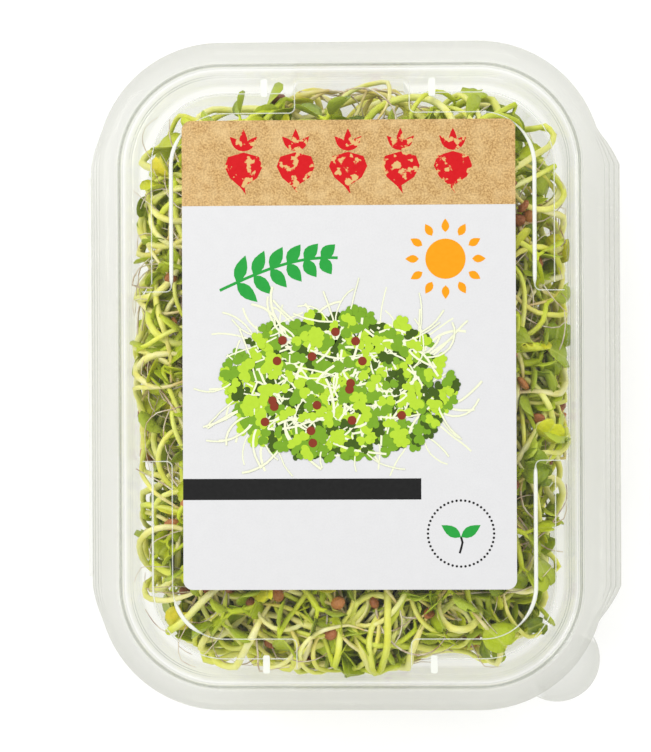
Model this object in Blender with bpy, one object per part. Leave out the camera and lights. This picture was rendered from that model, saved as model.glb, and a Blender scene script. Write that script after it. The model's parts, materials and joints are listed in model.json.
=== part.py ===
"""Radish sprouts in a clear hinged punnet, label on the lid. Metres, +Z up.

The punnet stands on its flat floor at z = 0. X = 0 and Y = 0 are the middle of its opening, and
the hinge runs along the long side at -X. The sprouts lie in the tub as a tangle of clumps.
"""

import math
import random

import bpy
from mathutils import Matrix, Vector
from mathutils.bvhtree import BVHTree

MM = 0.001

# Opening of the tub, the outline that every ring of tub and lid is offset from
OPENING_HALF_X = 65.0 * MM
OPENING_HALF_Y = 87.7 * MM
OPENING_RADIUS = 29.0 * MM

# Plastic sheet and the rim
WALL = 0.6 * MM
FLANGE = 5.8 * MM
FLANGE_TOP = 41.0 * MM
SHUT_GAP = 0.3 * MM
GRIP_EAR = 4.8 * MM
HINGE_EAR = 1.5 * MM

# Corner pockets of the tub end here, measured from the middle of each side
POCKET_END_LONG = 23.7 * MM
POCKET_END_SHORT = 16.0 * MM
POCKET_STEP = 1.2 * MM
FLOOR_TOP = 0.6 * MM
FLOOR_EDGE = 13.6 * MM

# Lid
LID_FIT = 0.45 * MM
CHANNEL_BOTTOM = 37.0 * MM
PANEL_UNDER = 43.4 * MM

# Finger tab: a round lobe on the lid's corner at +X, -Y
TAB_RADIUS = 12.0 * MM
TAB_REACH = 29.6 * MM
TAB_ANGLE = math.radians(-43.4)

# Label
LABEL_SIZE = (93.0 * MM, 131.0 * MM)
LABEL_CENTRE_Y = 5.9 * MM
LABEL_RADIUS = 2.5 * MM
LABEL_THICK = 0.25 * MM

# Sprouts
CLUMP_COLUMNS = 4
CLUMP_ROWS = 5
SPROUTS_ON_TOP = 2
SPROUTS_AT_WALL = 1
CORE_TOP = 25.0 * MM
CORE_TO_WALL = 5.0 * MM
HEAP_TOP = 40.5 * MM
STEM_SIDES = 4
STEM_STEPS = 7
STEM_RADIUS = 1.05 * MM
ROOT_RADIUS = 0.45 * MM
LEAF_THICK = 0.8 * MM
LEAF_LENGTH = 6.6 * MM
LEAF_WIDTH = 8.2 * MM
CLEAR = 0.4 * MM
SEED = 41


def clear_scene():
    for item in list(bpy.data.objects):
        bpy.data.objects.remove(item)


def material(name, colour, roughness, alpha=1.0):
    made = bpy.data.materials.new(name)
    made.use_nodes = True
    shader = made.node_tree.nodes["Principled BSDF"]
    shader.inputs["Base Color"].default_value = (*colour, 1.0)
    shader.inputs["Roughness"].default_value = roughness
    shader.inputs["Metallic"].default_value = 0.0
    shader.inputs["Alpha"].default_value = alpha
    return made


def add_object(name, points, faces, finish=None):
    mesh = bpy.data.meshes.new(name)
    mesh.from_pydata([tuple(p) for p in points], [], faces)
    if finish:
        mesh.materials.append(finish)
    if signed_volume(mesh) < 0:
        mesh.flip_normals()
    made = bpy.data.objects.new(name, mesh)
    bpy.context.scene.collection.objects.link(made)
    return made


def shade_smooth(item, angle_deg):
    item.data.shade_smooth()
    item.data.set_sharp_from_angle(angle=math.radians(angle_deg))


# Outline of the opening


def stations(long_stops, short_stops, corner_angles):
    """Points round the opening, counterclockwise from +X, each with its outward direction.

    corner_angles holds, for each of the four corners, the angles in degrees from its first side.
    """
    centre_x = OPENING_HALF_X - OPENING_RADIUS
    centre_y = OPENING_HALF_Y - OPENING_RADIUS
    turns = ((1, 1, 0), (-1, 1, 90), (-1, -1, 180), (1, -1, 270))
    found = []
    for (sign_x, sign_y, start), angles in zip(turns, corner_angles):
        across = Vector((math.cos(math.radians(start)), math.sin(math.radians(start))))
        along = Vector((-across.y, across.x))
        stops = long_stops if start % 180 == 0 else short_stops
        reach = OPENING_HALF_X if start % 180 == 0 else OPENING_HALF_Y
        for stop in stops:
            found.append((across * reach + along * stop, across.copy()))
        for angle in angles:
            turn = math.radians(start + angle)
            outward = Vector((math.cos(turn), math.sin(turn)))
            centre = Vector((sign_x * centre_x, sign_y * centre_y))
            found.append((centre + outward * OPENING_RADIUS, outward))
    return found


def even_angles(steps):
    return [90.0 * i / steps for i in range(steps + 1)]


def ear(point, outward):
    """How much wider the flange is at the long sides, fading out within the corners."""
    straight_half = OPENING_HALF_Y - OPENING_RADIUS
    fade = 1 - min(1, max(0, (abs(point.y) - straight_half) / (8 * MM)))
    width = GRIP_EAR if outward.x > 0 else HINGE_EAR
    return width * fade if abs(outward.x) > 0.7 else 0.0


def tab(point):
    """How far the finger tab's lobe stands out past the flange, seen from the corner's centre."""
    centre = Vector((OPENING_HALF_X - OPENING_RADIUS, -(OPENING_HALF_Y - OPENING_RADIUS)))
    ray = point - centre
    if ray.x < 0 or ray.y > 0:
        return 0.0
    off = math.atan2(ray.y, ray.x) - TAB_ANGLE
    inner = TAB_RADIUS**2 - (TAB_REACH * math.sin(off)) ** 2
    if inner < 0 or abs(off) > 1:
        return 0.0
    lobe = TAB_REACH * math.cos(off) + math.sqrt(inner)
    return max(0.0, lobe - OPENING_RADIUS - FLANGE)


# Sheet shells: tub and lid


def offset_profile(profile, distance):
    """The profile moved sideways by distance, to the left of its direction of travel."""
    directions = [(b - a).normalized() for a, b in zip(profile, profile[1:])]
    moved = []
    for i, point in enumerate(profile):
        before = directions[max(0, i - 1)]
        after = directions[min(len(directions) - 1, i)]
        left_before = Vector((-before.y, before.x))
        left_after = Vector((-after.y, after.x))
        middle = (left_before + left_after).normalized()
        moved.append(point + middle * (distance / max(0.4, middle.dot(left_after))))
    return moved


def sheet_shell(name, outline, profile_at, thickness, finish):
    """A closed sheet: profile_at gives (inset, height) points from the rim to the middle."""
    rings = None
    for point, outward in outline:
        near = profile_at(point, outward)
        far = offset_profile(near, thickness)
        loop = near + far[::-1]
        if rings is None:
            rings = [[] for _ in loop]
        for ring, (inset, height) in zip(rings, loop):
            flat = point - outward * inset
            ring.append((flat.x, flat.y, height))
    around, last = len(outline), len(rings)
    points = [p for ring in rings for p in ring]
    faces = []
    for i in range(last):
        if i == last // 2 - 1:
            continue
        for j in range(around):
            k = (j + 1) % around
            low, high = i * around, (i + 1) % last * around
            faces.append((low + j, low + k, high + k, high + j))
    middle = (last // 2 - 1) * around
    faces.append(tuple(range(middle, middle + around)))
    faces.append(tuple(reversed(range(middle + around, middle + 2 * around))))
    shell = add_object(name, points, faces, finish)
    shade_smooth(shell, 35)
    return shell


def signed_volume(mesh):
    mesh.calc_loop_triangles()
    return sum(
        mesh.vertices[a].co.dot(mesh.vertices[b].co.cross(mesh.vertices[c].co)) / 6
        for a, b, c in (t.vertices for t in mesh.loop_triangles)
    )


def in_pocket(point, outward):
    """True in the four corner pockets of the tub's wall, false in the middle of each side."""
    if abs(outward.x) > 0.999:
        return abs(point.y) > POCKET_END_LONG
    if abs(outward.y) > 0.999:
        return abs(point.x) > POCKET_END_SHORT
    return True


def tub_profile(point, outward):
    """Inside of the tub, from the flange's edge down to the floor."""
    pocket = in_pocket(point, outward)
    ledge, wall, foot = (4.6, 7.0, 8.4) if pocket else (3.2, 3.5, 5.7)
    rim = FLANGE + ear(point, outward)
    return [
        Vector((-rim, FLANGE_TOP)),
        Vector((-0.5 * MM, FLANGE_TOP)),
        Vector((0.0, FLANGE_TOP - 0.5 * MM)),
        Vector((0.15 * MM, FLANGE_TOP - 4.8 * MM)),
        Vector((1.9 * MM, FLANGE_TOP - 5.6 * MM)),
        Vector((ledge * MM, 21.0 * MM)),
        Vector((wall * MM, 20.2 * MM)),
        Vector((foot * MM, 3.4 * MM)),
        Vector(((foot + 0.9) * MM, 1.5 * MM)),
        Vector(((foot + 2.6) * MM, FLOOR_TOP)),
        Vector((FLOOR_EDGE, FLOOR_TOP)),
    ]


def lid_profile(point, outward):
    """Underside of the lid, from the flange's edge through the plug channel to the panel."""
    rim = FLANGE + ear(point, outward) + tab(point)
    under = FLANGE_TOP + SHUT_GAP
    return [
        Vector((-rim, under)),
        Vector((-0.3 * MM, under)),
        Vector((LID_FIT, under - 0.8 * MM)),
        Vector((LID_FIT + 0.15 * MM, CHANNEL_BOTTOM + 0.7 * MM)),
        Vector((LID_FIT + 0.8 * MM, CHANNEL_BOTTOM)),
        Vector((LID_FIT + 2.4 * MM, CHANNEL_BOTTOM)),
        Vector((LID_FIT + 3.1 * MM, CHANNEL_BOTTOM + 0.7 * MM)),
        Vector((LID_FIT + 3.6 * MM, PANEL_UNDER - 0.8 * MM)),
        Vector((LID_FIT + 4.4 * MM, PANEL_UNDER)),
        Vector((LID_FIT + 7.0 * MM, PANEL_UNDER)),
    ]


def make_tub(finish):
    long_stops, short_stops = (
        [-end - POCKET_STEP, -end + POCKET_STEP, end - POCKET_STEP, end + POCKET_STEP]
        for end in (POCKET_END_LONG, POCKET_END_SHORT)
    )
    outline = stations(long_stops, short_stops, [even_angles(7)] * 4)
    return sheet_shell("tub", outline, tub_profile, -WALL, finish)


def make_lid(finish):
    tab_middle = math.degrees(TAB_ANGLE) + 90
    tab_angles = [0.0, 11.0] + [tab_middle + step for step in (-23, -19, -14, -7, 0, 7, 14, 19, 23)]
    corners = [even_angles(7)] * 3 + [tab_angles + [80.0, 90.0]]
    outline = stations([0.0], [0.0], corners)
    return sheet_shell("lid", outline, lid_profile, WALL, finish)


def make_label(finish):
    """A thin plate with rounded corners, lying on the lid's panel."""
    half_x, half_y = LABEL_SIZE[0] / 2 - LABEL_RADIUS, LABEL_SIZE[1] / 2 - LABEL_RADIUS
    corner_steps = 4
    rim = []
    for quarter, (sign_x, sign_y) in enumerate(((1, 1), (-1, 1), (-1, -1), (1, -1))):
        for i in range(corner_steps + 1):
            turn = math.pi / 2 * (quarter + i / corner_steps)
            rim.append(
                (
                    sign_x * half_x + LABEL_RADIUS * math.cos(turn),
                    sign_y * half_y + LABEL_RADIUS * math.sin(turn) + LABEL_CENTRE_Y,
                )
            )
    bottom = PANEL_UNDER + WALL + SHUT_GAP
    count = len(rim)
    points = [(x, y, bottom) for x, y in rim] + [(x, y, bottom + LABEL_THICK) for x, y in rim]
    faces = [tuple(reversed(range(count))), tuple(range(count, 2 * count))]
    faces += [(i, (i + 1) % count, (i + 1) % count + count, i + count) for i in range(count)]
    return add_object("label", points, faces, finish)


# Room for the sprouts inside the shut punnet

WALL_AT_CORNER = [
    (p.y, p.x) for p in tub_profile(Vector((OPENING_HALF_X, OPENING_HALF_Y)), Vector((0.7, 0.7)))
]


def wall_inset(height):
    """How far the tub's inner wall stands in from the opening at this height, in the pockets."""
    for (top, outer), (bottom, inner) in zip(WALL_AT_CORNER, WALL_AT_CORNER[1:]):
        if bottom <= height <= top and top > bottom:
            return outer + (inner - outer) * (top - height) / (top - bottom)
    return 0.0 if height > FLANGE_TOP / 2 else FLOOR_EDGE


def inset_of(x, y):
    """Distance inwards from the opening's outline."""
    over_x = abs(x) - (OPENING_HALF_X - OPENING_RADIUS)
    over_y = abs(y) - (OPENING_HALF_Y - OPENING_RADIUS)
    outside = math.hypot(max(over_x, 0), max(over_y, 0))
    return OPENING_RADIUS - outside - min(max(over_x, over_y), 0)


def inside(point, margin):
    """True where a point is at least margin clear of the tub's wall, its floor and the lid."""
    inset = inset_of(point.x, point.y)
    ceiling = HEAP_TOP if inset > 9 * MM else CHANNEL_BOTTOM - 1.0 * MM
    floor = FLOOR_TOP + CLEAR
    if not floor + margin <= point.z <= ceiling - margin:
        return False
    return inset >= wall_inset(point.z) + CLEAR + margin


# Sprouts


def tube(path, radii, sides):
    """Points and faces of a closed tube along path, with no twist."""
    points, faces = [], []
    along = (path[1] - path[0]).normalized()
    side = along.orthogonal().normalized()
    for i, (centre, radius) in enumerate(zip(path, radii)):
        ahead = path[min(i + 1, len(path) - 1)] - path[max(i - 1, 0)]
        ahead.normalize()
        side = (side - ahead * side.dot(ahead)).normalized()
        up = ahead.cross(side)
        for k in range(sides):
            turn = 2 * math.pi * k / sides
            points.append(centre + (side * math.cos(turn) + up * math.sin(turn)) * radius)
    for i in range(len(path) - 1):
        for k in range(sides):
            low, high = i * sides, (i + 1) * sides
            nxt = (k + 1) % sides
            faces.append((low + k, low + nxt, high + nxt, high + k))
    faces.append(tuple(reversed(range(sides))))
    faces.append(tuple(range((len(path) - 1) * sides, len(path) * sides)))
    return points, faces


HEART = (
    (-0.15, 0.0),
    (0.30, -0.40),
    (0.74, -0.50),
    (0.98, -0.27),
    (0.84, 0.0),
    (0.98, 0.27),
    (0.74, 0.50),
    (0.30, 0.40),
)


def seed_leaf(base, forward, upward, length, width, thick):
    """Points and faces of one notched, cupped seed leaf that grows from base along forward."""
    side = forward.cross(upward)
    rim = [(u * length, v * width) for u, v in HEART]
    outline = rim + [(0.45 * length, 0.0)]
    points = []
    for lift in (-thick / 2, thick / 2):
        for u, v in outline:
            cup = 0.055 / MM * v * v - 0.012 / MM * u * u
            points.append(base + forward * u + side * v + upward * (cup + lift))
    count = len(rim)
    hub, stride = count, count + 1
    faces = []
    for i in range(count):
        nxt = (i + 1) % count
        faces.append((nxt, i, hub))
        faces.append((stride + i, stride + nxt, stride + hub))
        faces.append((i, nxt, stride + nxt, stride + i))
    return points, faces


def seed_hull(centre, axis, radius):
    """Points and faces of a seed hull: a low egg of two rings and two tips."""
    side = axis.orthogonal().normalized()
    up = axis.cross(side)
    sides, rings = 6, ((-0.45, 0.85), (0.45, 0.85))
    points = [centre - axis * radius * 1.15]
    for along, wide in rings:
        for k in range(sides):
            turn = 2 * math.pi * k / sides
            spoke = side * math.cos(turn) + up * math.sin(turn)
            points.append(centre + axis * radius * along * 1.15 + spoke * radius * wide)
    points.append(centre + axis * radius * 1.15)
    faces = []
    for k in range(sides):
        nxt = (k + 1) % sides
        faces.append((0, 1 + nxt, 1 + k))
        faces.append((1 + k, 1 + nxt, 1 + sides + nxt, 1 + sides + k))
        faces.append((1 + 2 * sides, 1 + sides + k, 1 + sides + nxt))
    return points, faces


def wander(rng, start, yaw, level, length):
    """A stem's centre line: it leaves its clump, bends slowly and stays inside the punnet."""
    step = length / STEM_STEPS
    margin = STEM_RADIUS + CLEAR
    path = [start]
    bend = rng.uniform(-0.30, 0.30)
    for i in range(STEM_STEPS):
        rise = max(-0.6, min(0.6, (level - path[-1].z) / (2.5 * step)))
        rise += rng.uniform(-0.12, 0.12)
        bend = 0.7 * bend + rng.uniform(-0.22, 0.22)
        for turn in (0, 0.4, -0.4, 0.8, -0.8, 1.2, -1.2):
            heading = yaw + bend + turn
            ahead = Vector((math.cos(heading), math.sin(heading), rise)).normalized()
            place = path[-1] + ahead * step
            if inside(place, margin):
                break
        else:
            return None
        yaw = heading
        path.append(place)
    return path


def sprout_shapes(rng, path, grow):
    """The solids of one sprout, as (points, faces); grow makes every one of them fatter."""
    shapes = []
    radii = []
    for i in range(len(path)):
        share = i / (len(path) - 1)
        radius = ROOT_RADIUS + (STEM_RADIUS - ROOT_RADIUS) * min(1, share / 0.45)
        radii.append(radius + grow)
    shapes.append(tube(path, radii, STEM_SIDES))
    tip = path[-1]
    ahead = (path[-1] - path[-2]).normalized()
    roll = rng.uniform(0, 2 * math.pi)
    spread = math.radians(rng.uniform(28, 62))
    size = rng.uniform(0.85, 1.1)
    side = Matrix.Rotation(roll, 3, ahead) @ ahead.orthogonal().normalized()
    for sign in (-1, 1):
        forward = (ahead * math.cos(spread) + side * sign * math.sin(spread)).normalized()
        upward = (ahead * math.sin(spread) - side * sign * math.cos(spread)).normalized()
        base = tip - ahead * 0.4 * MM
        leaf = seed_leaf(
            base,
            forward,
            upward,
            LEAF_LENGTH * size + grow,
            LEAF_WIDTH * size + 2 * grow,
            LEAF_THICK + 2 * grow,
        )
        shapes.append(leaf)
    if rng.random() < 0.25:
        middle = path[len(path) // 2]
        along = (path[len(path) // 2 + 1] - middle).normalized()
        shapes.append(seed_hull(middle, along, 1.9 * MM + grow))
    return shapes


def bvh_of(shapes):
    points, faces = [], []
    for shape_points, shape_faces in shapes:
        first = len(points)
        points += shape_points
        faces += [tuple(first + i for i in face) for face in shape_faces]
    return BVHTree.FromPolygons(points, faces)


def core_shape(rng, centre, half_x, half_y):
    """The dense middle of a clump, a rough low mound that its sprouts stand out of."""
    sides = 8
    floor = FLOOR_TOP + CLEAR
    levels = ((floor, 0.86), (0.55 * CORE_TOP, 1.0), (0.92 * CORE_TOP, 0.72))
    points, faces = [], []
    for height, wide in levels:
        for k in range(sides):
            turn = 2 * math.pi * (k + 0.5) / sides
            square = wide * rng.uniform(0.9, 1.0) / max(abs(math.cos(turn)), abs(math.sin(turn)))
            reach = min(square, 1.12 * wide)
            place = Vector(
                (
                    centre.x + half_x * reach * math.cos(turn),
                    centre.y + half_y * reach * math.sin(turn),
                    height,
                )
            )
            for _ in range(24):
                if inset_of(place.x, place.y) >= wall_inset(max(height, 3 * MM)) + CORE_TO_WALL:
                    break
                place.x += 0.06 * (centre.x - place.x)
                place.y += 0.06 * (centre.y - place.y)
            points.append(place)
    points.append(Vector((centre.x, centre.y, CORE_TOP + rng.uniform(-1.5, 1.5) * MM)))
    for i in range(len(levels) - 1):
        for k in range(sides):
            nxt = (k + 1) % sides
            low, high = i * sides, (i + 1) * sides
            faces.append((low + k, low + nxt, high + nxt, high + k))
    top = (len(levels) - 1) * sides
    faces += [(top + k, top + (k + 1) % sides, len(points) - 1) for k in range(sides)]
    faces.append(tuple(reversed(range(sides))))
    return points, faces


def fuse(core, pieces):
    """One solid from the core and the pieces sunk into it; the pieces are then removed."""
    tools = bpy.data.collections.new(core.name + "_pieces")
    bpy.context.scene.collection.children.link(tools)
    for piece in pieces:
        bpy.context.scene.collection.objects.unlink(piece)
        tools.objects.link(piece)
    union = core.modifiers.new("Union", "BOOLEAN")
    union.operation = "UNION"
    union.operand_type = "COLLECTION"
    union.collection = tools
    union.solver = "MANIFOLD"
    bpy.context.view_layer.update()
    graph = bpy.context.evaluated_depsgraph_get()
    fused = bpy.data.meshes.new_from_object(core.evaluated_get(graph))
    core.modifiers.clear()
    core.data = fused
    for piece in list(tools.objects):
        bpy.data.objects.remove(piece)
    bpy.data.collections.remove(tools)


def clump_centres():
    """Middles and half sizes of the clumps' cells, in rows and columns across the tub's floor."""
    reach_x, reach_y = OPENING_HALF_X - 14 * MM, OPENING_HALF_Y - 14 * MM
    half_x, half_y = reach_x / CLUMP_COLUMNS, reach_y / CLUMP_ROWS
    for row in range(CLUMP_ROWS):
        for column in range(CLUMP_COLUMNS):
            x = -reach_x + half_x * (2 * column + 1)
            y = -reach_y + half_y * (2 * row + 1)
            yield Vector((x, y, 0)), half_x, half_y, row, column


def make_clumps(finish):
    """Clumps of sprouts: a core each, and sprouts that wander clear of every other clump."""
    rng = random.Random(SEED)
    clumps = []
    for centre, half_x, half_y, row, column in clump_centres():
        core = core_shape(rng, centre, half_x - CLEAR, half_y - CLEAR)
        edge = row in (0, CLUMP_ROWS - 1) or column in (0, CLUMP_COLUMNS - 1)
        clumps.append({"centre": centre, "edge": edge, "shapes": [core], "trees": [bvh_of([core])]})
    for turn in range(SPROUTS_ON_TOP + SPROUTS_AT_WALL):
        at_wall = turn >= SPROUTS_ON_TOP
        for clump in clumps:
            if at_wall and not clump["edge"]:
                continue
            grow_sprout(rng, clump, clumps, at_wall)
    for number, clump in enumerate(clumps, 1):
        parts = [add_object("piece", *shape, finish) for shape in clump["shapes"]]
        core = parts[0]
        core.name = f"sprouts_{number:02d}"
        fuse(core, parts[1:])
    return len(clumps)


def grow_sprout(rng, clump, clumps, at_wall):
    """Adds one sprout to the clump where it fits the punnet and is clear of the other clumps."""
    for _ in range(90):
        centre = clump["centre"]
        if at_wall:
            level = rng.uniform(6, 22) * MM
            yaw = math.atan2(centre.y, centre.x) + rng.uniform(-1.0, 1.0)
            start = Vector((centre.x, centre.y, min(level, 18 * MM)))
        else:
            level = rng.uniform(28, 39) * MM
            yaw = rng.uniform(0, 2 * math.pi)
            spot = Vector((rng.uniform(-5, 5) * MM, rng.uniform(-6, 6) * MM, CORE_TOP - 4 * MM))
            start = centre + spot
        path = wander(rng, start, yaw, level, rng.uniform(34, 50) * MM)
        if path is None:
            continue
        state = rng.getstate()
        fat = sprout_shapes(rng, path, CLEAR)
        rng.setstate(state)
        slim = sprout_shapes(rng, path, 0.0)
        if not all(inside(p, 0.0) for points, _ in slim for p in points[4:]):
            continue
        tree = bvh_of(fat)
        others = (t for c in clumps if c is not clump for t in c["trees"])
        if any(tree.overlap(other) for other in others):
            continue
        clump["shapes"] += slim
        clump["trees"].append(bvh_of(slim))
        return


def main():
    clear_scene()
    clear_plastic = material("clear_plastic", (0.93, 0.95, 0.94), 0.08, 0.3)
    paper = material("label_paper", (0.90, 0.90, 0.89), 0.55)
    sprout = material("sprout", (0.55, 0.66, 0.20), 0.45)
    make_tub(clear_plastic)
    make_lid(clear_plastic)
    make_label(paper)
    make_clumps(sprout)


main()
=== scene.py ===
# Radish sprouts in a clear hinged punnet with a printed label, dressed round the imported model.
import json
import math
import random

import bpy
from mathutils import Matrix, Vector

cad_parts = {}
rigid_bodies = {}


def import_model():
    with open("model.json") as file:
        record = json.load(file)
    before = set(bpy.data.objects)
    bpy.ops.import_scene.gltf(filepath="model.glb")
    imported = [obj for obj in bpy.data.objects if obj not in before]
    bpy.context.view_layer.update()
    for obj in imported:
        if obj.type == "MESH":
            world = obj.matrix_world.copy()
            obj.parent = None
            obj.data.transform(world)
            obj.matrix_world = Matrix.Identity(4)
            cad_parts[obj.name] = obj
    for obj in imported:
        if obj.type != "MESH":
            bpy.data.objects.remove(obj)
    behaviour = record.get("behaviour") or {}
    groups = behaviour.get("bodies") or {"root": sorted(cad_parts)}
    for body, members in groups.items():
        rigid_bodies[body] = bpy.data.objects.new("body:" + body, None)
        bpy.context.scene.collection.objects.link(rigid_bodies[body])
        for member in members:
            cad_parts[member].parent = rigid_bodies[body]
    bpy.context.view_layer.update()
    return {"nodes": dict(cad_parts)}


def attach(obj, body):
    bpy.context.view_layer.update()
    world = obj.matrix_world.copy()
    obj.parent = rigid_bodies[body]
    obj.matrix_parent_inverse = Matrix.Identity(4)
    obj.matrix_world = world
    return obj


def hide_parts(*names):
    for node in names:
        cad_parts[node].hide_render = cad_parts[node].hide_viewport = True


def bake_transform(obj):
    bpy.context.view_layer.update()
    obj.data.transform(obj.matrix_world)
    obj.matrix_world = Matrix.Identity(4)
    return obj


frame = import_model()
tubBody, lidBody = "tub_body", "lid_body"
sproutNodes = sorted(name for name in frame["nodes"] if name.startswith("sprouts_"))
mm = 0.001
print("frame loaded:", len(frame["nodes"]), "nodes")


def addPiece(name, mesh):
    piece = bpy.data.objects.new(name, mesh)
    bpy.context.scene.collection.objects.link(piece)
    return piece


def meshPiece(name, points, faces, material=None, smooth=True):
    mesh = bpy.data.meshes.new(name)
    mesh.from_pydata([tuple(p) for p in points], [], faces)
    mesh.validate()
    if material:
        mesh.materials.append(material)
    for face in mesh.polygons:
        face.use_smooth = smooth
    return addPiece(name, mesh)


def pointValues(mesh, name, values):
    mesh.attributes.new(name, "FLOAT", "POINT").data.foreach_set("value", values)


def pointVectors(mesh, name, vectors):
    layer = mesh.attributes.new(name, "FLOAT_VECTOR", "POINT")
    layer.data.foreach_set("vector", [n for v in vectors for n in v])


def smoothStep(low, high, value):
    share = min(1.0, max(0.0, (value - low) / (high - low)))
    return share * share * (3 - 2 * share)


def newTree(name, numbers=()):
    tree = bpy.data.node_groups.new(name, "GeometryNodeTree")
    tree.interface.new_socket(name="Geometry", in_out="INPUT", socket_type="NodeSocketGeometry")
    for label, kind in numbers:
        tree.interface.new_socket(name=label, in_out="INPUT", socket_type=kind)
    tree.interface.new_socket(name="Geometry", in_out="OUTPUT", socket_type="NodeSocketGeometry")
    return tree, tree.nodes.new("NodeGroupInput")


def namedValue(tree, name, kind="FLOAT"):
    node = tree.nodes.new("GeometryNodeInputNamedAttribute")
    node.data_type = kind
    node.inputs["Name"].default_value = name
    return node.outputs["Attribute"]


def nodesOf(tree, *kinds):
    return [tree.nodes.new(kind if "Node" in kind else "GeometryNode" + kind) for kind in kinds]


def joined(tree, *links):
    # each link: a node, its output, the node it leads to and the input there
    for source, output, target, socket in links:
        tree.links.new(source.outputs[output], target.inputs[socket])


def endTree(tree, last, output, material):
    plain, finish, result = nodesOf(tree, "RealizeInstances", "SetMaterial", "NodeGroupOutput")
    finish.inputs["Material"].default_value = material
    joined(
        tree,
        (last, output, plain, "Geometry"),
        (plain, "Geometry", finish, "Geometry"),
        (finish, "Geometry", result, "Geometry"),
    )
    return tree


def grown(source, tree, values, name):
    modifier = source.modifiers.new("grow", "NODES")
    modifier.node_group = tree
    for item in tree.interface.items_tree:
        if item.item_type == "SOCKET" and item.in_out == "INPUT" and item.name in values:
            modifier[item.identifier] = values[item.name]
    graph = bpy.context.evaluated_depsgraph_get()
    mesh = bpy.data.meshes.new_from_object(source.evaluated_get(graph))
    mesh.name = name
    bpy.data.objects.remove(source)
    return addPiece(name, mesh)


# Camera, lights and floor

view = {
    "distance": 0.80,  # from the rim's plane
    "side": 2.3,  # degrees off to the grip side
    "roll": -0.25,
    "width": 0.1823,  # what the picture spans at the rim's plane
    "aim": (-0.0067, 0.0, 0.041),
    "near": 0.01,
}
lamps = {  # place, size, power
    "left": ((-0.60, 0.30, 0.80), 0.45, 4.7),
    "right": ((0.80, -0.10, 0.60), 0.40, 1.8),
    "top": ((0.05, 0.80, 0.75), 0.45, 2.9),
    "front": ((-0.10, -0.85, 0.60), 0.40, 1.5),
}
room = {
    "strength": 0.60,
    "lampAim": (0, 0, 0.02),
    "sheets": 32,  # how many layers of clear film a ray may cross
    "bounces": {"max_bounces": 4, "diffuse_bounces": 3, "glossy_bounces": 1},
}


def makeCamera():
    camera = bpy.data.objects.new("camera", bpy.data.cameras.new("camera"))
    bpy.context.scene.collection.objects.link(camera)
    tilt = math.radians(view["side"])
    camera.location = Vector(view["aim"]) + Vector((math.sin(tilt), 0, math.cos(tilt))) * view["distance"]
    turn = Matrix.Rotation(tilt, 4, "Y") @ Matrix.Rotation(math.radians(view["roll"]), 4, "Z")
    camera.rotation_euler = turn.to_euler()
    camera.data.sensor_fit = "HORIZONTAL"
    camera.data.angle = 2 * math.atan(view["width"] / 2 / view["distance"])
    camera.data.clip_start = view["near"]
    bpy.context.scene.camera = camera


def makeLights():
    for name, (place, size, power) in lamps.items():
        lamp = bpy.data.lights.new(name, "AREA")
        lamp.size, lamp.energy = size, power
        item = bpy.data.objects.new(name, lamp)
        item.location = place
        item.rotation_euler = (Vector(room["lampAim"]) - Vector(place)).to_track_quat("-Z", "Y").to_euler()
        bpy.context.scene.collection.objects.link(item)
    world = bpy.data.worlds.new("room")
    world.use_nodes = True
    world.node_tree.nodes["Background"].inputs["Color"].default_value = (1, 1, 1, 1)
    world.node_tree.nodes["Background"].inputs["Strength"].default_value = room["strength"]
    bpy.context.scene.world = world
    bpy.context.scene.view_settings.view_transform = "Standard"
    cycles = bpy.context.scene.cycles
    cycles.transparent_max_bounces = room["sheets"]
    for limit, count in room["bounces"].items():
        setattr(cycles, limit, count)


# Finishes


def startMaterial(name):
    material = bpy.data.materials.new(name)
    material.use_nodes = True
    return material, material.node_tree, material.node_tree.nodes["Principled BSDF"]


def finishSkin(tree, skin, colour, look, ribs=None):
    tree.links.new(colour, skin.inputs["Base Color"])
    skin.inputs["Roughness"].default_value = look["roughness"]
    if "gloss" in look:
        skin.inputs["Specular IOR Level"].default_value = look["gloss"]
    if "grain" in look:
        size, strength, high = look["grain"]
        height = mottled(tree, size)
        height = height if ribs is None else maths(tree, "ADD", height, ribs)
        tree.links.new(bumped(tree, height, strength, high), skin.inputs["Normal"])


def feed(tree, socket, value):
    if isinstance(value, bpy.types.NodeSocket):
        tree.links.new(value, socket)
    elif isinstance(value, (int, float)):
        socket.default_value = value
    else:
        socket.default_value = (*value, 1)


def ramp(tree, factor, stops):
    node = tree.nodes.new("ShaderNodeValToRGB")
    band = node.color_ramp
    while len(band.elements) < len(stops):
        band.elements.new(0.5)
    for element, (place, colour) in zip(band.elements, stops):
        element.position = place
        element.color = (*colour, 1)
    tree.links.new(factor, node.inputs["Fac"])
    return node.outputs["Color"]


def blended(tree, factor, first, second, how="MIX"):
    node = tree.nodes.new("ShaderNodeMix")
    node.data_type = "RGBA"
    node.blend_type = how
    feed(tree, node.inputs[0], factor)
    feed(tree, node.inputs[6], first)
    feed(tree, node.inputs[7], second)
    return node.outputs[2]


def maths(tree, how, first, second=0.0):
    node = tree.nodes.new("ShaderNodeMath")
    node.operation = how
    feed(tree, node.inputs[0], first)
    feed(tree, node.inputs[1], second)
    return node.outputs["Value"]


def attributeOf(tree, name):
    node = tree.nodes.new("ShaderNodeAttribute")
    node.attribute_name = name
    return node.outputs["Fac"]


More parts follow.
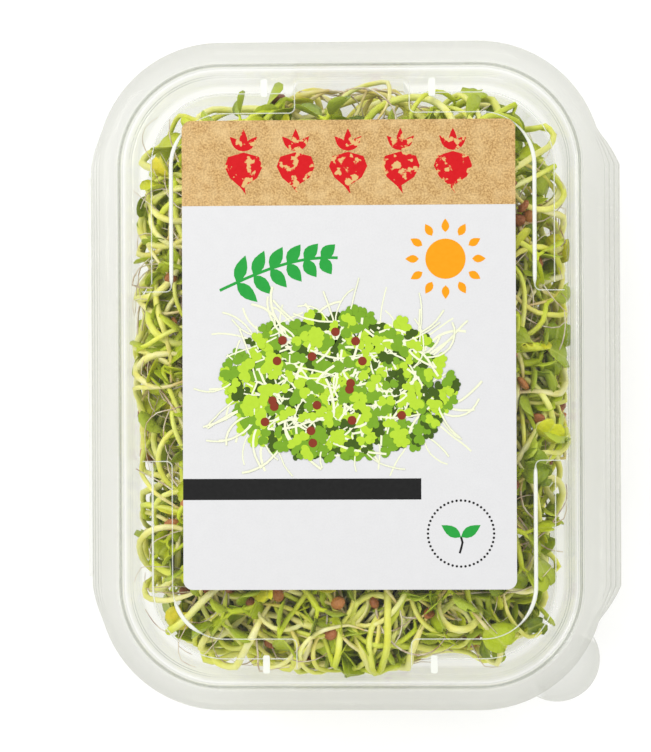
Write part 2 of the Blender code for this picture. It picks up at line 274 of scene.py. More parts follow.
def makeMottle():
    group = bpy.data.node_groups.new("mottle", "ShaderNodeTree")
    for label in ("Size", "Low", "High"):
        group.interface.new_socket(name=label, in_out="INPUT", socket_type="NodeSocketFloat")
    group.interface.new_socket(name="Mask", in_out="OUTPUT", socket_type="NodeSocketFloat")
    given, result = nodesOf(group, "NodeGroupInput", "NodeGroupOutput")
    place, noise, span = nodesOf(group, "ShaderNodeTexCoord", "ShaderNodeTexNoise", "ShaderNodeMapRange")
    noise.inputs["Detail"].default_value = 3
    feed(group, noise.inputs["Scale"], maths(group, "DIVIDE", 1.0, given.outputs["Size"]))
    joined(
        group,
        (place, "Object", noise, "Vector"),
        (noise, "Fac", span, "Value"),
        (given, "Low", span, "From Min"),
        (given, "High", span, "From Max"),
        (span, "Result", result, "Mask"),
    )
    return group


mottleGroup = makeMottle()


def mottled(tree, size, low=0.35, high=0.65):
    node = tree.nodes.new("ShaderNodeGroup")
    node.node_tree = mottleGroup
    for label, value in (("Size", size), ("Low", low), ("High", high)):
        node.inputs[label].default_value = value
    return node.outputs["Mask"]


def bumped(tree, height, strength, distance):
    node = tree.nodes.new("ShaderNodeBump")
    node.inputs["Strength"].default_value = strength
    node.inputs["Distance"].default_value = distance
    tree.links.new(height, node.inputs["Height"])
    return node.outputs["Normal"]


sheetLook = {
    "clear": (  # how far the film turns from the eye, and the light it lets through
        (0.0, (0.990, 0.990, 0.985)),
        (0.60, (0.980, 0.980, 0.970)),
        (0.90, (0.940, 0.945, 0.925)),
        (0.96, (0.80, 0.82, 0.77)),
        (1.0, (0.42, 0.45, 0.39)),
    ),
    "frost": (0.860, 0.860, 0.845),  # the flange, the floor and the tab, with painted shade towards the flange's ends
    "rim": (0.22, 0.25, 0.18),  # painted shade: the thin dark line drawn round the opening's steep wall
    "contourShadePower": 6.0,
    "haze": ((0.74, 0.76, 0.71), (0.93, 0.95, 0.88)),  # plain film, and the painted highlight on a bead or lug
    "hazeRoughness": 0.45,
    "hazeShare": {"all": 0.003, "frost": 0.13, "glint": 0.80},
    "waves": {"size": 0.022, "strength": 0.5, "high": 0.0005},
    "shine": {"least": 0.014, "turned": 0.22, "power": 3.0, "roughness": 0.07},
}


def makeClearSheet():
    material, tree, haze = startMaterial("clearSheet")
    link, look = tree.links.new, sheetLook
    wavy, shiny, hazy = look["waves"], look["shine"], look["hazeShare"]
    waves = bumped(tree, mottled(tree, wavy["size"], 0.2, 0.8), wavy["strength"], wavy["high"])
    facing, through = nodesOf(tree, "ShaderNodeLayerWeight", "ShaderNodeBsdfTransparent")
    facing.inputs["Blend"].default_value = 0.5
    link(waves, facing.inputs["Normal"])
    turned = facing.outputs["Facing"]
    frost, edge, glint = (attributeOf(tree, name) for name in ("frost", "edge", "glint"))
    clear = blended(tree, frost, ramp(tree, turned, look["clear"]), look["frost"], "MULTIPLY")
    # painted shade: the opening's steep wall is darkened as it turns from the eye
    contourShadeSeen = maths(tree, "MULTIPLY", edge, maths(tree, "POWER", turned, look["contourShadePower"]))
    link(blended(tree, contourShadeSeen, clear, look["rim"], "MULTIPLY"), through.inputs["Color"])
    link(blended(tree, glint, *look["haze"]), haze.inputs["Base Color"])
    haze.inputs["Roughness"].default_value = look["hazeRoughness"]
    mirror, *mixes = nodesOf(tree, "ShaderNodeBsdfGlossy", "ShaderNodeMixShader", "ShaderNodeMixShader")
    milky, glossy = mixes
    mirror.inputs["Roughness"].default_value = shiny["roughness"]
    link(waves, mirror.inputs["Normal"])
    shine = maths(tree, "MULTIPLY_ADD", maths(tree, "POWER", turned, shiny["power"]), shiny["turned"])
    shine.node.inputs[2].default_value = shiny["least"]
    # a glint is a painted highlight: white diffuse haze mixed in where the glint attribute is set
    milk = maths(tree, "MULTIPLY", glint, hazy["glint"])
    milk = maths(tree, "ADD", maths(tree, "MULTIPLY", frost, hazy["frost"]), milk)
    link(maths(tree, "ADD", milk, hazy["all"]), milky.inputs["Fac"])
    link(shine, glossy.inputs["Fac"])
    joined(
        tree,
        (through, "BSDF", milky, 1),
        (haze, "BSDF", milky, 2),
        (milky, "Shader", glossy, 1),
        (mirror, "BSDF", glossy, 2),
        (glossy, "Shader", tree.nodes["Material Output"], "Surface"),
    )
    return material


def patched(tree, colour, size, patch, strength=1.0, how="MIX"):
    spots = mottled(tree, size)
    spots = maths(tree, "MULTIPLY", spots, strength) if strength < 1 else spots
    return blended(tree, spots, colour, patch, how)


stemLook = {
    "pale": (  # from the root to the leaves
        (0.0, (0.78, 0.60, 0.36)),
        (0.12, (0.94, 0.89, 0.56)),
        (0.45, (0.97, 0.96, 0.52)),
        (0.85, (0.88, 0.92, 0.19)),
        (1.0, (0.68, 0.79, 0.045)),
    ),
    "green": ((0.0, (0.72, 0.54, 0.26)), (0.3, (0.86, 0.85, 0.17)), (1.0, (0.56, 0.68, 0.030))),
    "patch": {"size": 0.004, "patch": (0.97, 0.94, 0.52), "how": "MULTIPLY"},
    "grain": (0.0012, 0.4, 0.0002),  # size, strength, height
    "roughness": 0.36,
    "gloss": 0.35,
}
rootLook = {
    "tones": ((0.0, (0.62, 0.50, 0.36)), (0.6, (0.50, 0.33, 0.20)), (1.0, (0.33, 0.17, 0.10))),
    "patch": {"size": 0.003, "patch": (0.85, 0.78, 0.62)},
    "roughness": 0.5,
}
hullLook = {
    "tones": ((0.0, (0.16, 0.040, 0.010)), (0.6, (0.36, 0.100, 0.020)), (1.0, (0.68, 0.27, 0.07))),
    "patch": {"size": 0.0008, "patch": (0.52, 0.20, 0.07), "strength": 0.5},
    "grain": (0.0006, 0.7, 0.0002),
    "roughness": 0.42,
}
leafLook = {
    "tones": (  # dark green to yellow
        (0.0, (0.110, 0.170, 0.006)),
        (0.3, (0.260, 0.370, 0.008)),
        (0.6, (0.460, 0.575, 0.010)),
        (0.85, (0.660, 0.705, 0.014)),
        (1.0, (0.860, 0.740, 0.036)),
    ),
    "under": (0.54, 0.65, 0.08),
    "vein": {"colour": (0.66, 0.72, 0.16), "narrow": 9.0, "strength": 0.55, "sunk": -1.5},
    "base": {"colour": (0.70, 0.74, 0.18), "reach": 0.35, "strength": 1.6},
    "patch": {"size": 0.0016, "patch": (0.46, 0.54, 0.02), "strength": 0.30},
    "grain": (0.0009, 0.5, 0.00025),
    "roughness": 0.36,
    "gloss": 0.35,
}
bedShadeLook = {
    # dark stops paint the shade deep in the tangle, light stops are the stems' own colour
    "tones": ((0.0, (0.09, 0.10, 0.008)), (0.5, (0.32, 0.33, 0.025)), (1.0, (0.62, 0.60, 0.15))),
    "patch": (0.004, 0.3, 0.7),
    "grain": (0.003, 1.0, 0.002),
    "roughness": 0.6,
}


def makeStemSkin():
    material, tree, skin = startMaterial("stemSkin")
    along, tone = attributeOf(tree, "along"), attributeOf(tree, "tone")
    colour = blended(tree, tone, ramp(tree, along, stemLook["pale"]), ramp(tree, along, stemLook["green"]))
    finishSkin(tree, skin, patched(tree, colour, **stemLook["patch"]), stemLook)
    return material


def makeTonedSkin(name, look):
    material, tree, skin = startMaterial(name)
    colour = ramp(tree, attributeOf(tree, "tone"), look["tones"])
    finishSkin(tree, skin, patched(tree, colour, **look["patch"]), look)
    return material


def makeLeafSkin():
    material, tree, skin = startMaterial("leafSkin")
    vein, base = leafLook["vein"], leafLook["base"]
    across, reach = attributeOf(tree, "across"), attributeOf(tree, "reach")
    top = ramp(tree, attributeOf(tree, "tone"), leafLook["tones"])
    colour = blended(tree, attributeOf(tree, "under"), top, blended(tree, 0.5, top, leafLook["under"]))
    line = maths(tree, "MULTIPLY", maths(tree, "ABSOLUTE", across), vein["narrow"])
    line = maths(tree, "MAXIMUM", maths(tree, "SUBTRACT", 1.0, line), 0.0)
    line = maths(tree, "MULTIPLY", line, vein["strength"])
    colour = blended(tree, line, colour, vein["colour"])
    foot = maths(tree, "MAXIMUM", maths(tree, "SUBTRACT", base["reach"], reach), 0.0)
    colour = blended(tree, maths(tree, "MULTIPLY", foot, base["strength"]), colour, base["colour"])
    colour = patched(tree, colour, **leafLook["patch"])
    finishSkin(tree, skin, colour, leafLook, maths(tree, "MULTIPLY", line, vein["sunk"]))
    return material


def makeBedShadeSkin():
    material, tree, skin = startMaterial("bedShadeSkin")
    finishSkin(tree, skin, ramp(tree, mottled(tree, *bedShadeLook["patch"]), bedShadeLook["tones"]), bedShadeLook)
    return material


paperLook = {
    "white": {  # two tones of fibre, and the stains over them
        "tones": ((0.675, 0.675, 0.680), (0.655, 0.655, 0.660), (0.690, 0.690, 0.695)),
        "roughness": 0.40,
        "grain": (0.0005, 0.25, 0.00005),
    },
    "kraft": {
        "tones": ((0.66, 0.43, 0.165), (0.36, 0.195, 0.055), (0.74, 0.54, 0.26)),
        "roughness": 0.55,
        "grain": (0.0005, 0.25, 0.00005),
    },
    "stain": (0.0035, 0.4, 0.75),
}


def makePaper(kind):
    material, tree, skin = startMaterial(kind + "Paper")
    look = paperLook[kind]
    first, second, stain = look["tones"]
    colour = blended(tree, mottled(tree, look["grain"][0]), first, second)
    stains = maths(tree, "MULTIPLY", mottled(tree, *paperLook["stain"]), 0.5)
    finishSkin(tree, skin, blended(tree, stains, colour, stain), look)
    return material


inkLook = {
    "under": (0.66, 0.43, 0.17),  # the kraft that shows where an ink is worn
    "worn": (0.0022, 0.56, 0.60),
    "faded": {"size": 0.0012, "strength": 0.22},
    "lighter": 1.2,
    "roughness": 0.42,
    "gloss": 0.15,
}


def makeInk(name, colour, wear=0.0):
    material, tree, skin = startMaterial(name)
    patches = maths(tree, "MULTIPLY", mottled(tree, *inkLook["worn"]), wear)
    lighter = [min(1, c * inkLook["lighter"] + 0.01) for c in colour]
    body = patched(tree, colour, patch=lighter, **inkLook["faded"])
    finishSkin(tree, skin, blended(tree, patches, body, inkLook["under"]), inkLook)
    return material


clearSheet = makeClearSheet()
stemSkin, rootSkin = makeStemSkin(), makeTonedSkin("rootSkin", rootLook)
leafSkin, hullSkin, bedShadeSkin = makeLeafSkin(), makeTonedSkin("hullSkin", hullLook), makeBedShadeSkin()
whitePaper, kraftPaper = makePaper("white"), makePaper("kraft")
print("finishes made")


# Punnet: outline of the opening and the sheet profiles round it, as the solids have them

opening = {"halfX": 65.0, "halfY": 87.7, "radius": 29.0}  # mm
openX, openY, openBend = opening.values()
bendX, bendY = openX - openBend, openY - openBend  # where the corners' centres are
sheet = {"thick": 0.6, "flange": 5.8, "gripEar": 4.8, "hingeEar": 1.5, "earFade": 8}
pocket = {"endLong": 23.7, "endShort": 16.0, "blend": 1.3}
ridges = {"count": 3, "high": 0.30, "first": 0.9, "pitch": 1.35, "half": 0.42, "bend": 0.25}
fingerTab = {"radius": 12.0, "reach": 29.6, "angle": math.radians(-43.4)}
steps = {"corner": 26, "tabCorner": 60, "pocketEnd": 6}
tubShape = {
    "rim": 41.0,
    "seat": (0.16, 36.0),  # how far in from the opening's edge, and how high
    "shelf": (1.9, 35.4),
    "ledge": 20.7,
    "wall": 20.2,
    "floor": 0.6,
    "flat": 13.6,
    "plain": (3.2, 3.5, 5.7),  # how far in the ledge, the wall below it and the foot stand
    "pocket": (4.6, 7.0, 8.4),
}
lidShape = {
    "flange": 41.3,
    "inner": (  # how far in, how high, bend: the channel that plugs into the tub, then the panel
        (0.42, 41.3, 0.8),
        (0.62, 37.0, 0.7),
        (3.48, 37.0, 0.8),
        (4.15, 43.4, 0.9),
        (9.5, 43.4, 0),
    ),
}


def stationsRound(longStops, shortStops, cornerAngles):
    found = []
    for signX, signY, start in ((1, 1, 0), (-1, 1, 90), (-1, -1, 180), (1, -1, 270)):
        turn = math.radians(start)
        across, along = Vector((math.cos(turn), math.sin(turn))), Vector((-math.sin(turn), math.cos(turn)))
        onLong = start % 180 == 0
        for stop in longStops if onLong else shortStops:
            found.append((across * (openX if onLong else openY) + along * stop, across))
        for angle in cornerAngles[start]:
            outward = Vector((math.cos(turn + math.radians(angle)), math.sin(turn + math.radians(angle))))
            found.append((Vector((signX * bendX, signY * bendY)) + outward * openBend, outward))
    return found


def earWidth(point, outward):
    # the flange is wider along the long sides, most on the grip side
    if abs(outward.x) <= 0.7:
        return 0.0
    fade = 1 - min(1, max(0, (abs(point.y) - openY + openBend) / sheet["earFade"]))
    return (sheet["gripEar"] if outward.x > 0 else sheet["hingeEar"]) * fade


def tabReach(point):
    ray = point - Vector((bendX, -bendY))
    if ray.x < 0 or ray.y > 0:
        return 0.0
    off = math.atan2(ray.y, ray.x) - fingerTab["angle"]
    inner = fingerTab["radius"] ** 2 - (fingerTab["reach"] * math.sin(off)) ** 2
    if inner < 0 or abs(off) > 1:
        return 0.0
    lobe = fingerTab["reach"] * math.cos(off) + math.sqrt(inner)
    return max(0.0, lobe - openBend - sheet["flange"])


def pocketShare(point, outward):
    for side, end, along in ((outward.x, "endLong", point.y), (outward.y, "endShort", point.x)):
        if abs(side) > 0.999:
            return smoothStep(pocket[end] - pocket["blend"], pocket[end] + pocket["blend"], abs(along))
    return 1.0


def ridged(rim, ear, height):
    full = ear / sheet["gripEar"]
    points = [(-rim, height, 0)]
    for k in range(ridges["count"]):
        middle = ridges["first"] + ridges["pitch"] * k
        for off, lift in ((-ridges["half"], 0), (0, ridges["high"]), (ridges["half"], 0)):
            inwards = (middle + off) * (0.35 + 0.65 * full)
            points.append((-rim + inwards, height + lift * full, ridges["bend"]))
    return points


def tubProfile(point, outward):
    share = pocketShare(point, outward)
    ledge, wall, foot = (a + (b - a) * share for a, b in zip(tubShape["plain"], tubShape["pocket"]))
    rim = sheet["flange"] + earWidth(point, outward)
    return [
        (-rim, tubShape["rim"], 0),
        (0.0, tubShape["rim"], 0.9),
        (*tubShape["seat"], 0.8),
        (*tubShape["shelf"], 0.8),
        (ledge, tubShape["ledge"], 1.3),
        (wall, tubShape["wall"], 1.0),
        (foot + 0.6, tubShape["floor"], 1.7),
        (tubShape["flat"], tubShape["floor"], 0),
    ]


def lidProfile(point, outward):
    ear = earWidth(point, outward)
    outer = ridged(sheet["flange"] + ear + tabReach(point), ear, lidShape["flange"])
    return outer + list(lidShape["inner"])


def bent(start, pull, end, t):
    return (1 - t) ** 2 * start + 2 * t * (1 - t) * pull + t * t * end


def roundedProfile(points, arcSteps=4):
    dense = []
    for i, (inset, height, radius) in enumerate(points):
        here = Vector((inset, height))
        if i in (0, len(points) - 1):
            dense.append(here)
            continue
        back = Vector(points[i - 1][:2]) - here
        ahead = Vector(points[i + 1][:2]) - here
        bend = math.pi - back.angle(ahead, math.pi)
        shortest = min(back.length, ahead.length)
        cut = max(0.03 * shortest, min(radius * math.tan(bend / 2), 0.42 * shortest))
        start, end = here + back.normalized() * cut, here + ahead.normalized() * cut
        dense.append(start + back.normalized() * min(0.12, 0.06 * shortest))
        for k in range(arcSteps + 1):
            dense.append(bent(start, here, end, k / arcSteps))
        dense.append(end + ahead.normalized() * min(0.12, 0.06 * shortest))
    return dense


def offsetProfile(profile, distance):
    moved = []
    for i, point in enumerate(profile):
        before = (point - profile[i - 1]).normalized() if i else None
        after = (profile[i + 1] - point).normalized() if i + 1 < len(profile) else None
        left = [Vector((-d.y, d.x)) for d in (before, after) if d is not None]
        middle = sum(left, Vector((0, 0))).normalized()
        moved.append(point + middle * (distance / max(0.6, middle.dot(left[-1]))))
    return moved


frosting = {
    "floor": 0.27,
    "floorTop": 1.3,
    "flange": 0.31,
    "near": (0.13, 45, 90),  # painted shade: how much more frost towards the near end, and from where to where
    # painted shade: a little more frost towards the far end
    "far": (0.05, 60, 90),
    "flangeEdge": (-0.9, -0.1),
    "tab": (0.2, 0.9),
    # contour: where the painted dark line round the opening goes
    "contour": {"low": 36.6, "high": 40.7, "out": -0.05, "in": 0.7},
}


def frostAt(inset, past, y, z):
    (near, nearFrom, nearTo), (far, farFrom, farTo) = frosting["near"], frosting["far"]
    onFloor = frosting["floor"] if z < frosting["floorTop"] else 0.0
    # even frost over the flange, greyed more towards both ends as painted shade
    nearShade, farShade = smoothStep(nearFrom, nearTo, -y), smoothStep(farFrom, farTo, y)
    flangeFrostAndShade = frosting["flange"] + near * nearShade + far * farShade
    flangeFrostAndShade *= 1 - smoothStep(*frosting["flangeEdge"], inset)
    return max(onFloor, flangeFrostAndShade, smoothStep(*frosting["tab"], past))


# marks the opening's steep wall for the painted dark line
def contourShadeAt(inset, z):
    line = frosting["contour"]
    return 1.0 if line["low"] < z < line["high"] and line["out"] < inset < line["in"] else 0.0


def sheetPiece(name, outline, profileAt, thick):
    rings, frost, edge = None, [], []
    for point, outward in outline:
        near = roundedProfile(profileAt(point, outward))
        loop = near + offsetProfile(near, thick)[::-1]
        rings = rings or [[] for _ in loop]
        for ring, (inset, height) in zip(rings, loop):
            flat = point - outward * inset
            ring.append((flat.x * mm, flat.y * mm, height * mm))
    around, last = len(outline), len(rings)
    points = [p for ring in rings for p in ring]
    faces = []
    inner = last // 2 - 1
    for i in range(last):
        for j in range(around) if i != inner else ():
            k = (j + 1) % around
            low, high = i * around, (i + 1) % last * around
            face = (low + j, low + k, high + k, high + j)
            faces.append(face if thick > 0 else face[::-1])
    under, over = (tuple(range(i * around, (i + 1) * around)) for i in (inner, inner + 1))
    faces += [under, over[::-1]] if thick > 0 else [under[::-1], over]
    piece = meshPiece(name, points, faces, clearSheet)
    for ring in rings:
        for (point, outward), (x, y, z) in zip(outline, ring):
            inset = (point - Vector((x, y)) / mm).dot(outward)
            past = -inset - sheet["flange"] - earWidth(point, outward)
            frost.append(frostAt(inset, past, y / mm, z / mm))
            edge.append(contourShadeAt(inset, z / mm))
    pointValues(piece.data, "frost", frost)
    pointValues(piece.data, "edge", edge)
    return outwardFaces(piece)


def volumeOf(mesh):
    mesh.calc_loop_triangles()
    corners = ([mesh.vertices[i].co for i in t.vertices] for t in mesh.loop_triangles)
    return sum(a.dot(b.cross(c)) / 6 for a, b, c in corners)


def outwardFaces(piece):
    if volumeOf(piece.data) < 0:
        piece.data.flip_normals()
    return piece


def evenSteps(low, high, count):
    return [low + (high - low) * i / count for i in range(count + 1)]


def makeTub():
    blend = pocket["blend"]
    longStops, shortStops = (
        [
            stop
            for middle in (-end, end)
            for stop in evenSteps(middle - blend, middle + blend, steps["pocketEnd"])
        ]
        for end in (pocket["endLong"], pocket["endShort"])
    )
    corners = {start: evenSteps(0, 90, steps["corner"]) for start in (0, 90, 180, 270)}
    return sheetPiece("tubShell", stationsRound(longStops, shortStops, corners), tubProfile, -sheet["thick"])


def makeLid():
    corners = {start: evenSteps(0, 90, steps["corner"]) for start in (0, 90, 180)}
    corners[270] = evenSteps(0, 90, steps["tabCorner"])
    return sheetPiece("lidShell", stationsRound([-20, 20], [-15, 15], corners), lidProfile, sheet["thick"])


tubShell, lidShell = makeTub(), makeLid()
print("punnet made:", len(tubShell.data.polygons), len(lidShell.data.polygons), "faces")


# Hinge web: a folded film that joins the two flanges along the left side

web = {
    "halfLength": 56.0,
    "thick": 0.25,
    "tubEdge": (-72.1, 40.7),
    "fold": (-73.05, 41.15),
    "lidEdge": (-72.1, 41.6),
    "across": 8,
    "along": 28,
}


def makeWeb():
    pull = (2 * web["fold"][0] - web["tubEdge"][0], web["fold"][1])
    profile = []
    for k in range(web["across"] + 1):
        t = k / web["across"]
        profile.append(Vector([bent(*three, t) for three in zip(web["tubEdge"], pull, web["lidEdge"])]))
    loop = profile + offsetProfile(profile, web["thick"])[::-1]
    stations = evenSteps(-web["halfLength"], web["halfLength"], web["along"])
    points = [(p.x * mm, y * mm, p.y * mm) for y in stations for p in loop]
    count = len(loop)
    faces = [tuple(range(count)), tuple(reversed(range((len(stations) - 1) * count, len(stations) * count)))]
    for i in range(len(stations) - 1):
        for k in range(count):
            a, b = i * count + k, i * count + (k + 1) % count
            faces.append((a, a + count, b + count, b))
    return outwardFaces(meshPiece("hingeWeb", points, faces, clearSheet))


hingeWeb = makeWeb()


# Label: paper plate, kraft band and generic prints

label = {
    "width": 93.0,
    "height": 131.0,
    "middleY": 5.9,
    "radius": 2.6,
    "bottom": 44.30,
    "top": 44.55,
    "band": 23.8,
    "bandThick": 0.04,
}


def roundedOutline(low, high, radii, steps=6):
    corners = ((high[0], high[1]), (low[0], high[1]), (low[0], low[1]), (high[0], low[1]))
    points = []
    for quarter, ((x, y), radius) in enumerate(zip(corners, radii)):
        middleX = x - radius if quarter in (0, 3) else x + radius
        middleY = y - radius if quarter in (0, 1) else y + radius
        for i in range(steps + 1) if radius else (0,):
            turn = math.pi / 2 * (quarter + i / steps)
            points.append((middleX + radius * math.cos(turn), middleY + radius * math.sin(turn)))
    return points


def slab(outline, bottom, top):
    count = len(outline)
    points = [(x * mm, y * mm, z * mm) for z in (bottom, top) for x, y in outline]
    faces = [tuple(reversed(range(count))), tuple(range(count, 2 * count))]
    faces += [(i, (i + 1) % count, (i + 1) % count + count, i + count) for i in range(count)]
    return points, faces


def slabPiece(name, plates, material):
    points, faces = [], []
    for outline, bottom, top in plates:
        first = len(points)
        more, moreFaces = slab(outline, bottom, top)
        points += more
        faces += [tuple(first + i for i in face) for face in moreFaces]
    return outwardFaces(meshPiece(name, points, faces, material, False))


def makeLabel():
    halfWide, halfTall = label["width"] / 2, label["height"] / 2
    low, high = (-halfWide, label["middleY"] - halfTall), (halfWide, label["middleY"] + halfTall)
    r, top = label["radius"], label["top"]
    plate = roundedOutline(low, high, (r, r, r, r))
    band = roundedOutline((low[0], high[1] - label["band"]), high, (r, r, 0, 0))
    paper = slabPiece("labelPaper", [(plate, label["bottom"], top)], whitePaper)
    return [paper, slabPiece("kraftBand", [(band, top, top + label["bandThick"])], kraftPaper)]


labelPieces = makeLabel()

leafRim = (  # along, across, one side from the base to the notch
    (0.0, 0.04),
    (0.10, 0.22),
    (0.30, 0.41),
    (0.55, 0.50),
    (0.80, 0.47),
    (0.96, 0.34),
    (1.0, 0.17),
    (0.86, 0.0),
)

# Prints: a row of red radishes on the kraft band, and a sun, a sprig and a heap of sprouts below it

inks = {
    "red": makeInk("redInk", (0.56, 0.006, 0.010), 1.0),
    "green": makeInk("greenInk", (0.020, 0.31, 0.045)),
    "orange": makeInk("orangeInk", (0.80, 0.31, 0.006)),
    "dark": makeInk("darkInk", (0.012, 0.012, 0.012)),
    "lime": makeInk("limeInk", (0.42, 0.62, 0.035)),
    "leafGreen": makeInk("leafGreenInk", (0.17, 0.34, 0.020)),
    "olive": makeInk("oliveInk", (0.050, 0.095, 0.010)),
    "cream": makeInk("creamInk", (0.78, 0.80, 0.58)),
    "brown": makeInk("brownInk", (0.22, 0.035, 0.015)),
}
art = {
    "film": 0.02,  # mm, how far each print stands above the paper
    "layer": 0.0002,  # how far each shape of a print stands above the one before
    "radish": {
        "count": 5,
        "pitch": 14.6,
        "middleY": 58.6,
        "tall": 15.5,
        "wide": 0.82,
        "middle": 0.45,
        "outline": (  # against its height, clockwise from its right side
            (0.42, 0.44),
            (0.30, 0.24),
            (0.02, 0.09),
            (0.05, -0.06),
            (-0.08, 0.08),
            (-0.30, 0.24),
            (-0.42, 0.44),
            (-0.34, 0.62),
            (0.0, 0.70),
            (0.34, 0.62),
        ),
        "leaves": ((0, 0.40), (0.75, 0.36), (-0.75, 0.36)),  # turn from upright, length
        "leafFoot": 0.27,
        "leafWide": 0.15,
    },
    "sun": {"x": 27.0, "y": 32.5, "disc": 5.6, "rays": 12, "inner": 7.4, "outer": 11.2, "rayWide": 2.2},
    "sprig": {"x": -36.0, "y": 24.0, "long": 33.0, "leaves": 6, "rise": 9, "stalk": 0.8, "steps": 14},
    "heap": {
        "x": -3.0,
        "y": -3.0,
        "halfX": 32.0,
        "halfY": 20.5,
        "seed": 11,
        "layers": 3,
        "shade": {"count": 90, "reach": 0.72, "size": (5, 9)},
        "stems": {
            "count": 240,
            "reach": 0.92,
            "bend": 0.28,
            "wander": 0.12,
            "step": 1.9,
            "wide": (0.35, 0.7),
        },
        "leaves": {"count": 420, "size": (1.8, 3.1), "apart": (1.3, 2.4)},
        "mix": (("olive", 0.2), ("leafGreen", 0.4), ("lime", 0.4)),
        "hulls": {"count": 16, "reach": 0.85, "radius": 1.25},
        "turn": (0, 6.28),
    },
    "bar": {"low": (-46.5, -34.5), "high": (20.0, -28.6)},
    "ring": {"x": 31.0, "y": -44.0, "radius": 9.2, "dots": 48, "dot": 0.36},
    "seedling": {"long": 6.4, "wide": 3.0, "turn": 0.55, "stalk": (0, 1.5, 3, 4.5), "stalkWide": 0.6},
}


def lens(x, y, long, wide, turn, steps=5):
    rim = [(t / steps, math.sin(math.pi * (t / steps) ** 0.85)) for t in range(steps + 1)]
    outline = [(u * long, v * wide / 2) for u, v in rim]
    outline += [(u * long, -v * wide / 2) for u, v in rim[-2:0:-1]]
    c, n = math.cos(turn), math.sin(turn)
    return [(x + u * c - v * n, y + u * n + v * c) for u, v in outline]


def disc(x, y, radius, sides=24):
    turns = [2 * math.pi * i / sides for i in range(sides)]
    return [(x + radius * math.cos(t), y + radius * math.sin(t)) for t in turns]


def heart(x, y, size, turn):
    rim = list(leafRim) + [(u, -v) for u, v in leafRim[-2::-1]]
    c, n = math.cos(turn), math.sin(turn)
    return [(x + size * (u * c - v * 1.15 * n), y + size * (u * n + v * 1.15 * c)) for u, v in rim]


def ribbon(points, wide):
    left, right = [], []
    for i, (x, y) in enumerate(points):
        (x0, y0), (x1, y1) = points[max(0, i - 1)], points[min(len(points) - 1, i + 1)]
        span = math.hypot(x1 - x0, y1 - y0)
        nx, ny = -(y1 - y0) / span * wide / 2, (x1 - x0) / span * wide / 2
        left.append((x + nx, y + ny))
        right.append((x - nx, y - ny))
    return left + right[::-1]


def printed(name, shapes, ink, base=None, step=0.0):
    film, base = art["film"], label["top"] if base is None else base
    tops = [base + film + step * number for number in range(len(shapes))]
    return slabPiece(name, [(shape, top - 0.6 * film, top) for shape, top in zip(shapes, tops)], ink)


def lineTree(name, pattern, material):
    tree, given = newTree(name, (("Count", "NodeSocketInt"), ("Pitch", "NodeSocketFloat")))
    line, place, shape, offset = nodesOf(
        tree, "MeshLine", "InstanceOnPoints", "ObjectInfo", "ShaderNodeCombineXYZ"
    )
    shape.inputs["Object"].default_value = pattern
    joined(
        tree,
        (given, "Count", line, "Count"),
        (given, "Pitch", offset, "X"),
        (offset, "Vector", line, "Offset"),
        (line, "Mesh", place, "Points"),
        (shape, "Geometry", place, "Instance"),
    )
    return endTree(tree, place, "Instances", material)


def ringTree(name, pattern, material):
    tree, given = newTree(name, (("Count", "NodeSocketInt"), ("Radius", "NodeSocketFloat")))
    circle, index, place, shape = nodesOf(tree, "MeshCircle", "InputIndex", "InstanceOnPoints", "ObjectInfo")
    share, turn, euler, rotation = nodesOf(
        tree, "ShaderNodeMath", "ShaderNodeMath", "ShaderNodeCombineXYZ", "FunctionNodeEulerToRotation"
    )
    share.operation, turn.operation = "DIVIDE", "MULTIPLY"
    turn.inputs[1].default_value = 2 * math.pi
    shape.inputs["Object"].default_value = pattern
    joined(
        tree,
        (given, "Count", circle, "Vertices"),
        (given, "Radius", circle, "Radius"),
        (index, "Index", share, 0),
        (given, "Count", share, 1),
        (share, "Value", turn, 0),
        (turn, "Value", euler, "Z"),
        (euler, "Vector", rotation, "Euler"),
        (circle, "Mesh", place, "Points"),
        (shape, "Geometry", place, "Instance"),
        (rotation, "Rotation", place, "Rotation"),
    )
    return endTree(tree, place, "Instances", material)


def shifted(piece, x, y, z=0.0):
    for vertex in piece.data.vertices:
        vertex.co += Vector((x, y, z)) * mm
    return piece


def repeated(name, shapes, ink, makeTree, values, place):
    pattern = printed(name + "Pattern", shapes, ink, 0.0, 2 * art["layer"])
    source = meshPiece(name + "Spots", [(0, 0, 0)], [])
    piece = grown(source, makeTree(name, pattern, ink), values, name)
    bpy.data.objects.remove(pattern)
    return shifted(piece, *place)


def radishShapes(spec):
    tall = spec["tall"]
    shapes = [[(x * tall * spec["wide"], (y - spec["middle"]) * tall) for x, y in spec["outline"]]]
    for turn, long in spec["leaves"]:
        foot = spec["leafFoot"] * tall
        shapes.append(lens(0.0, foot, long * tall, spec["leafWide"] * tall, math.pi / 2 + turn))
    return shapes


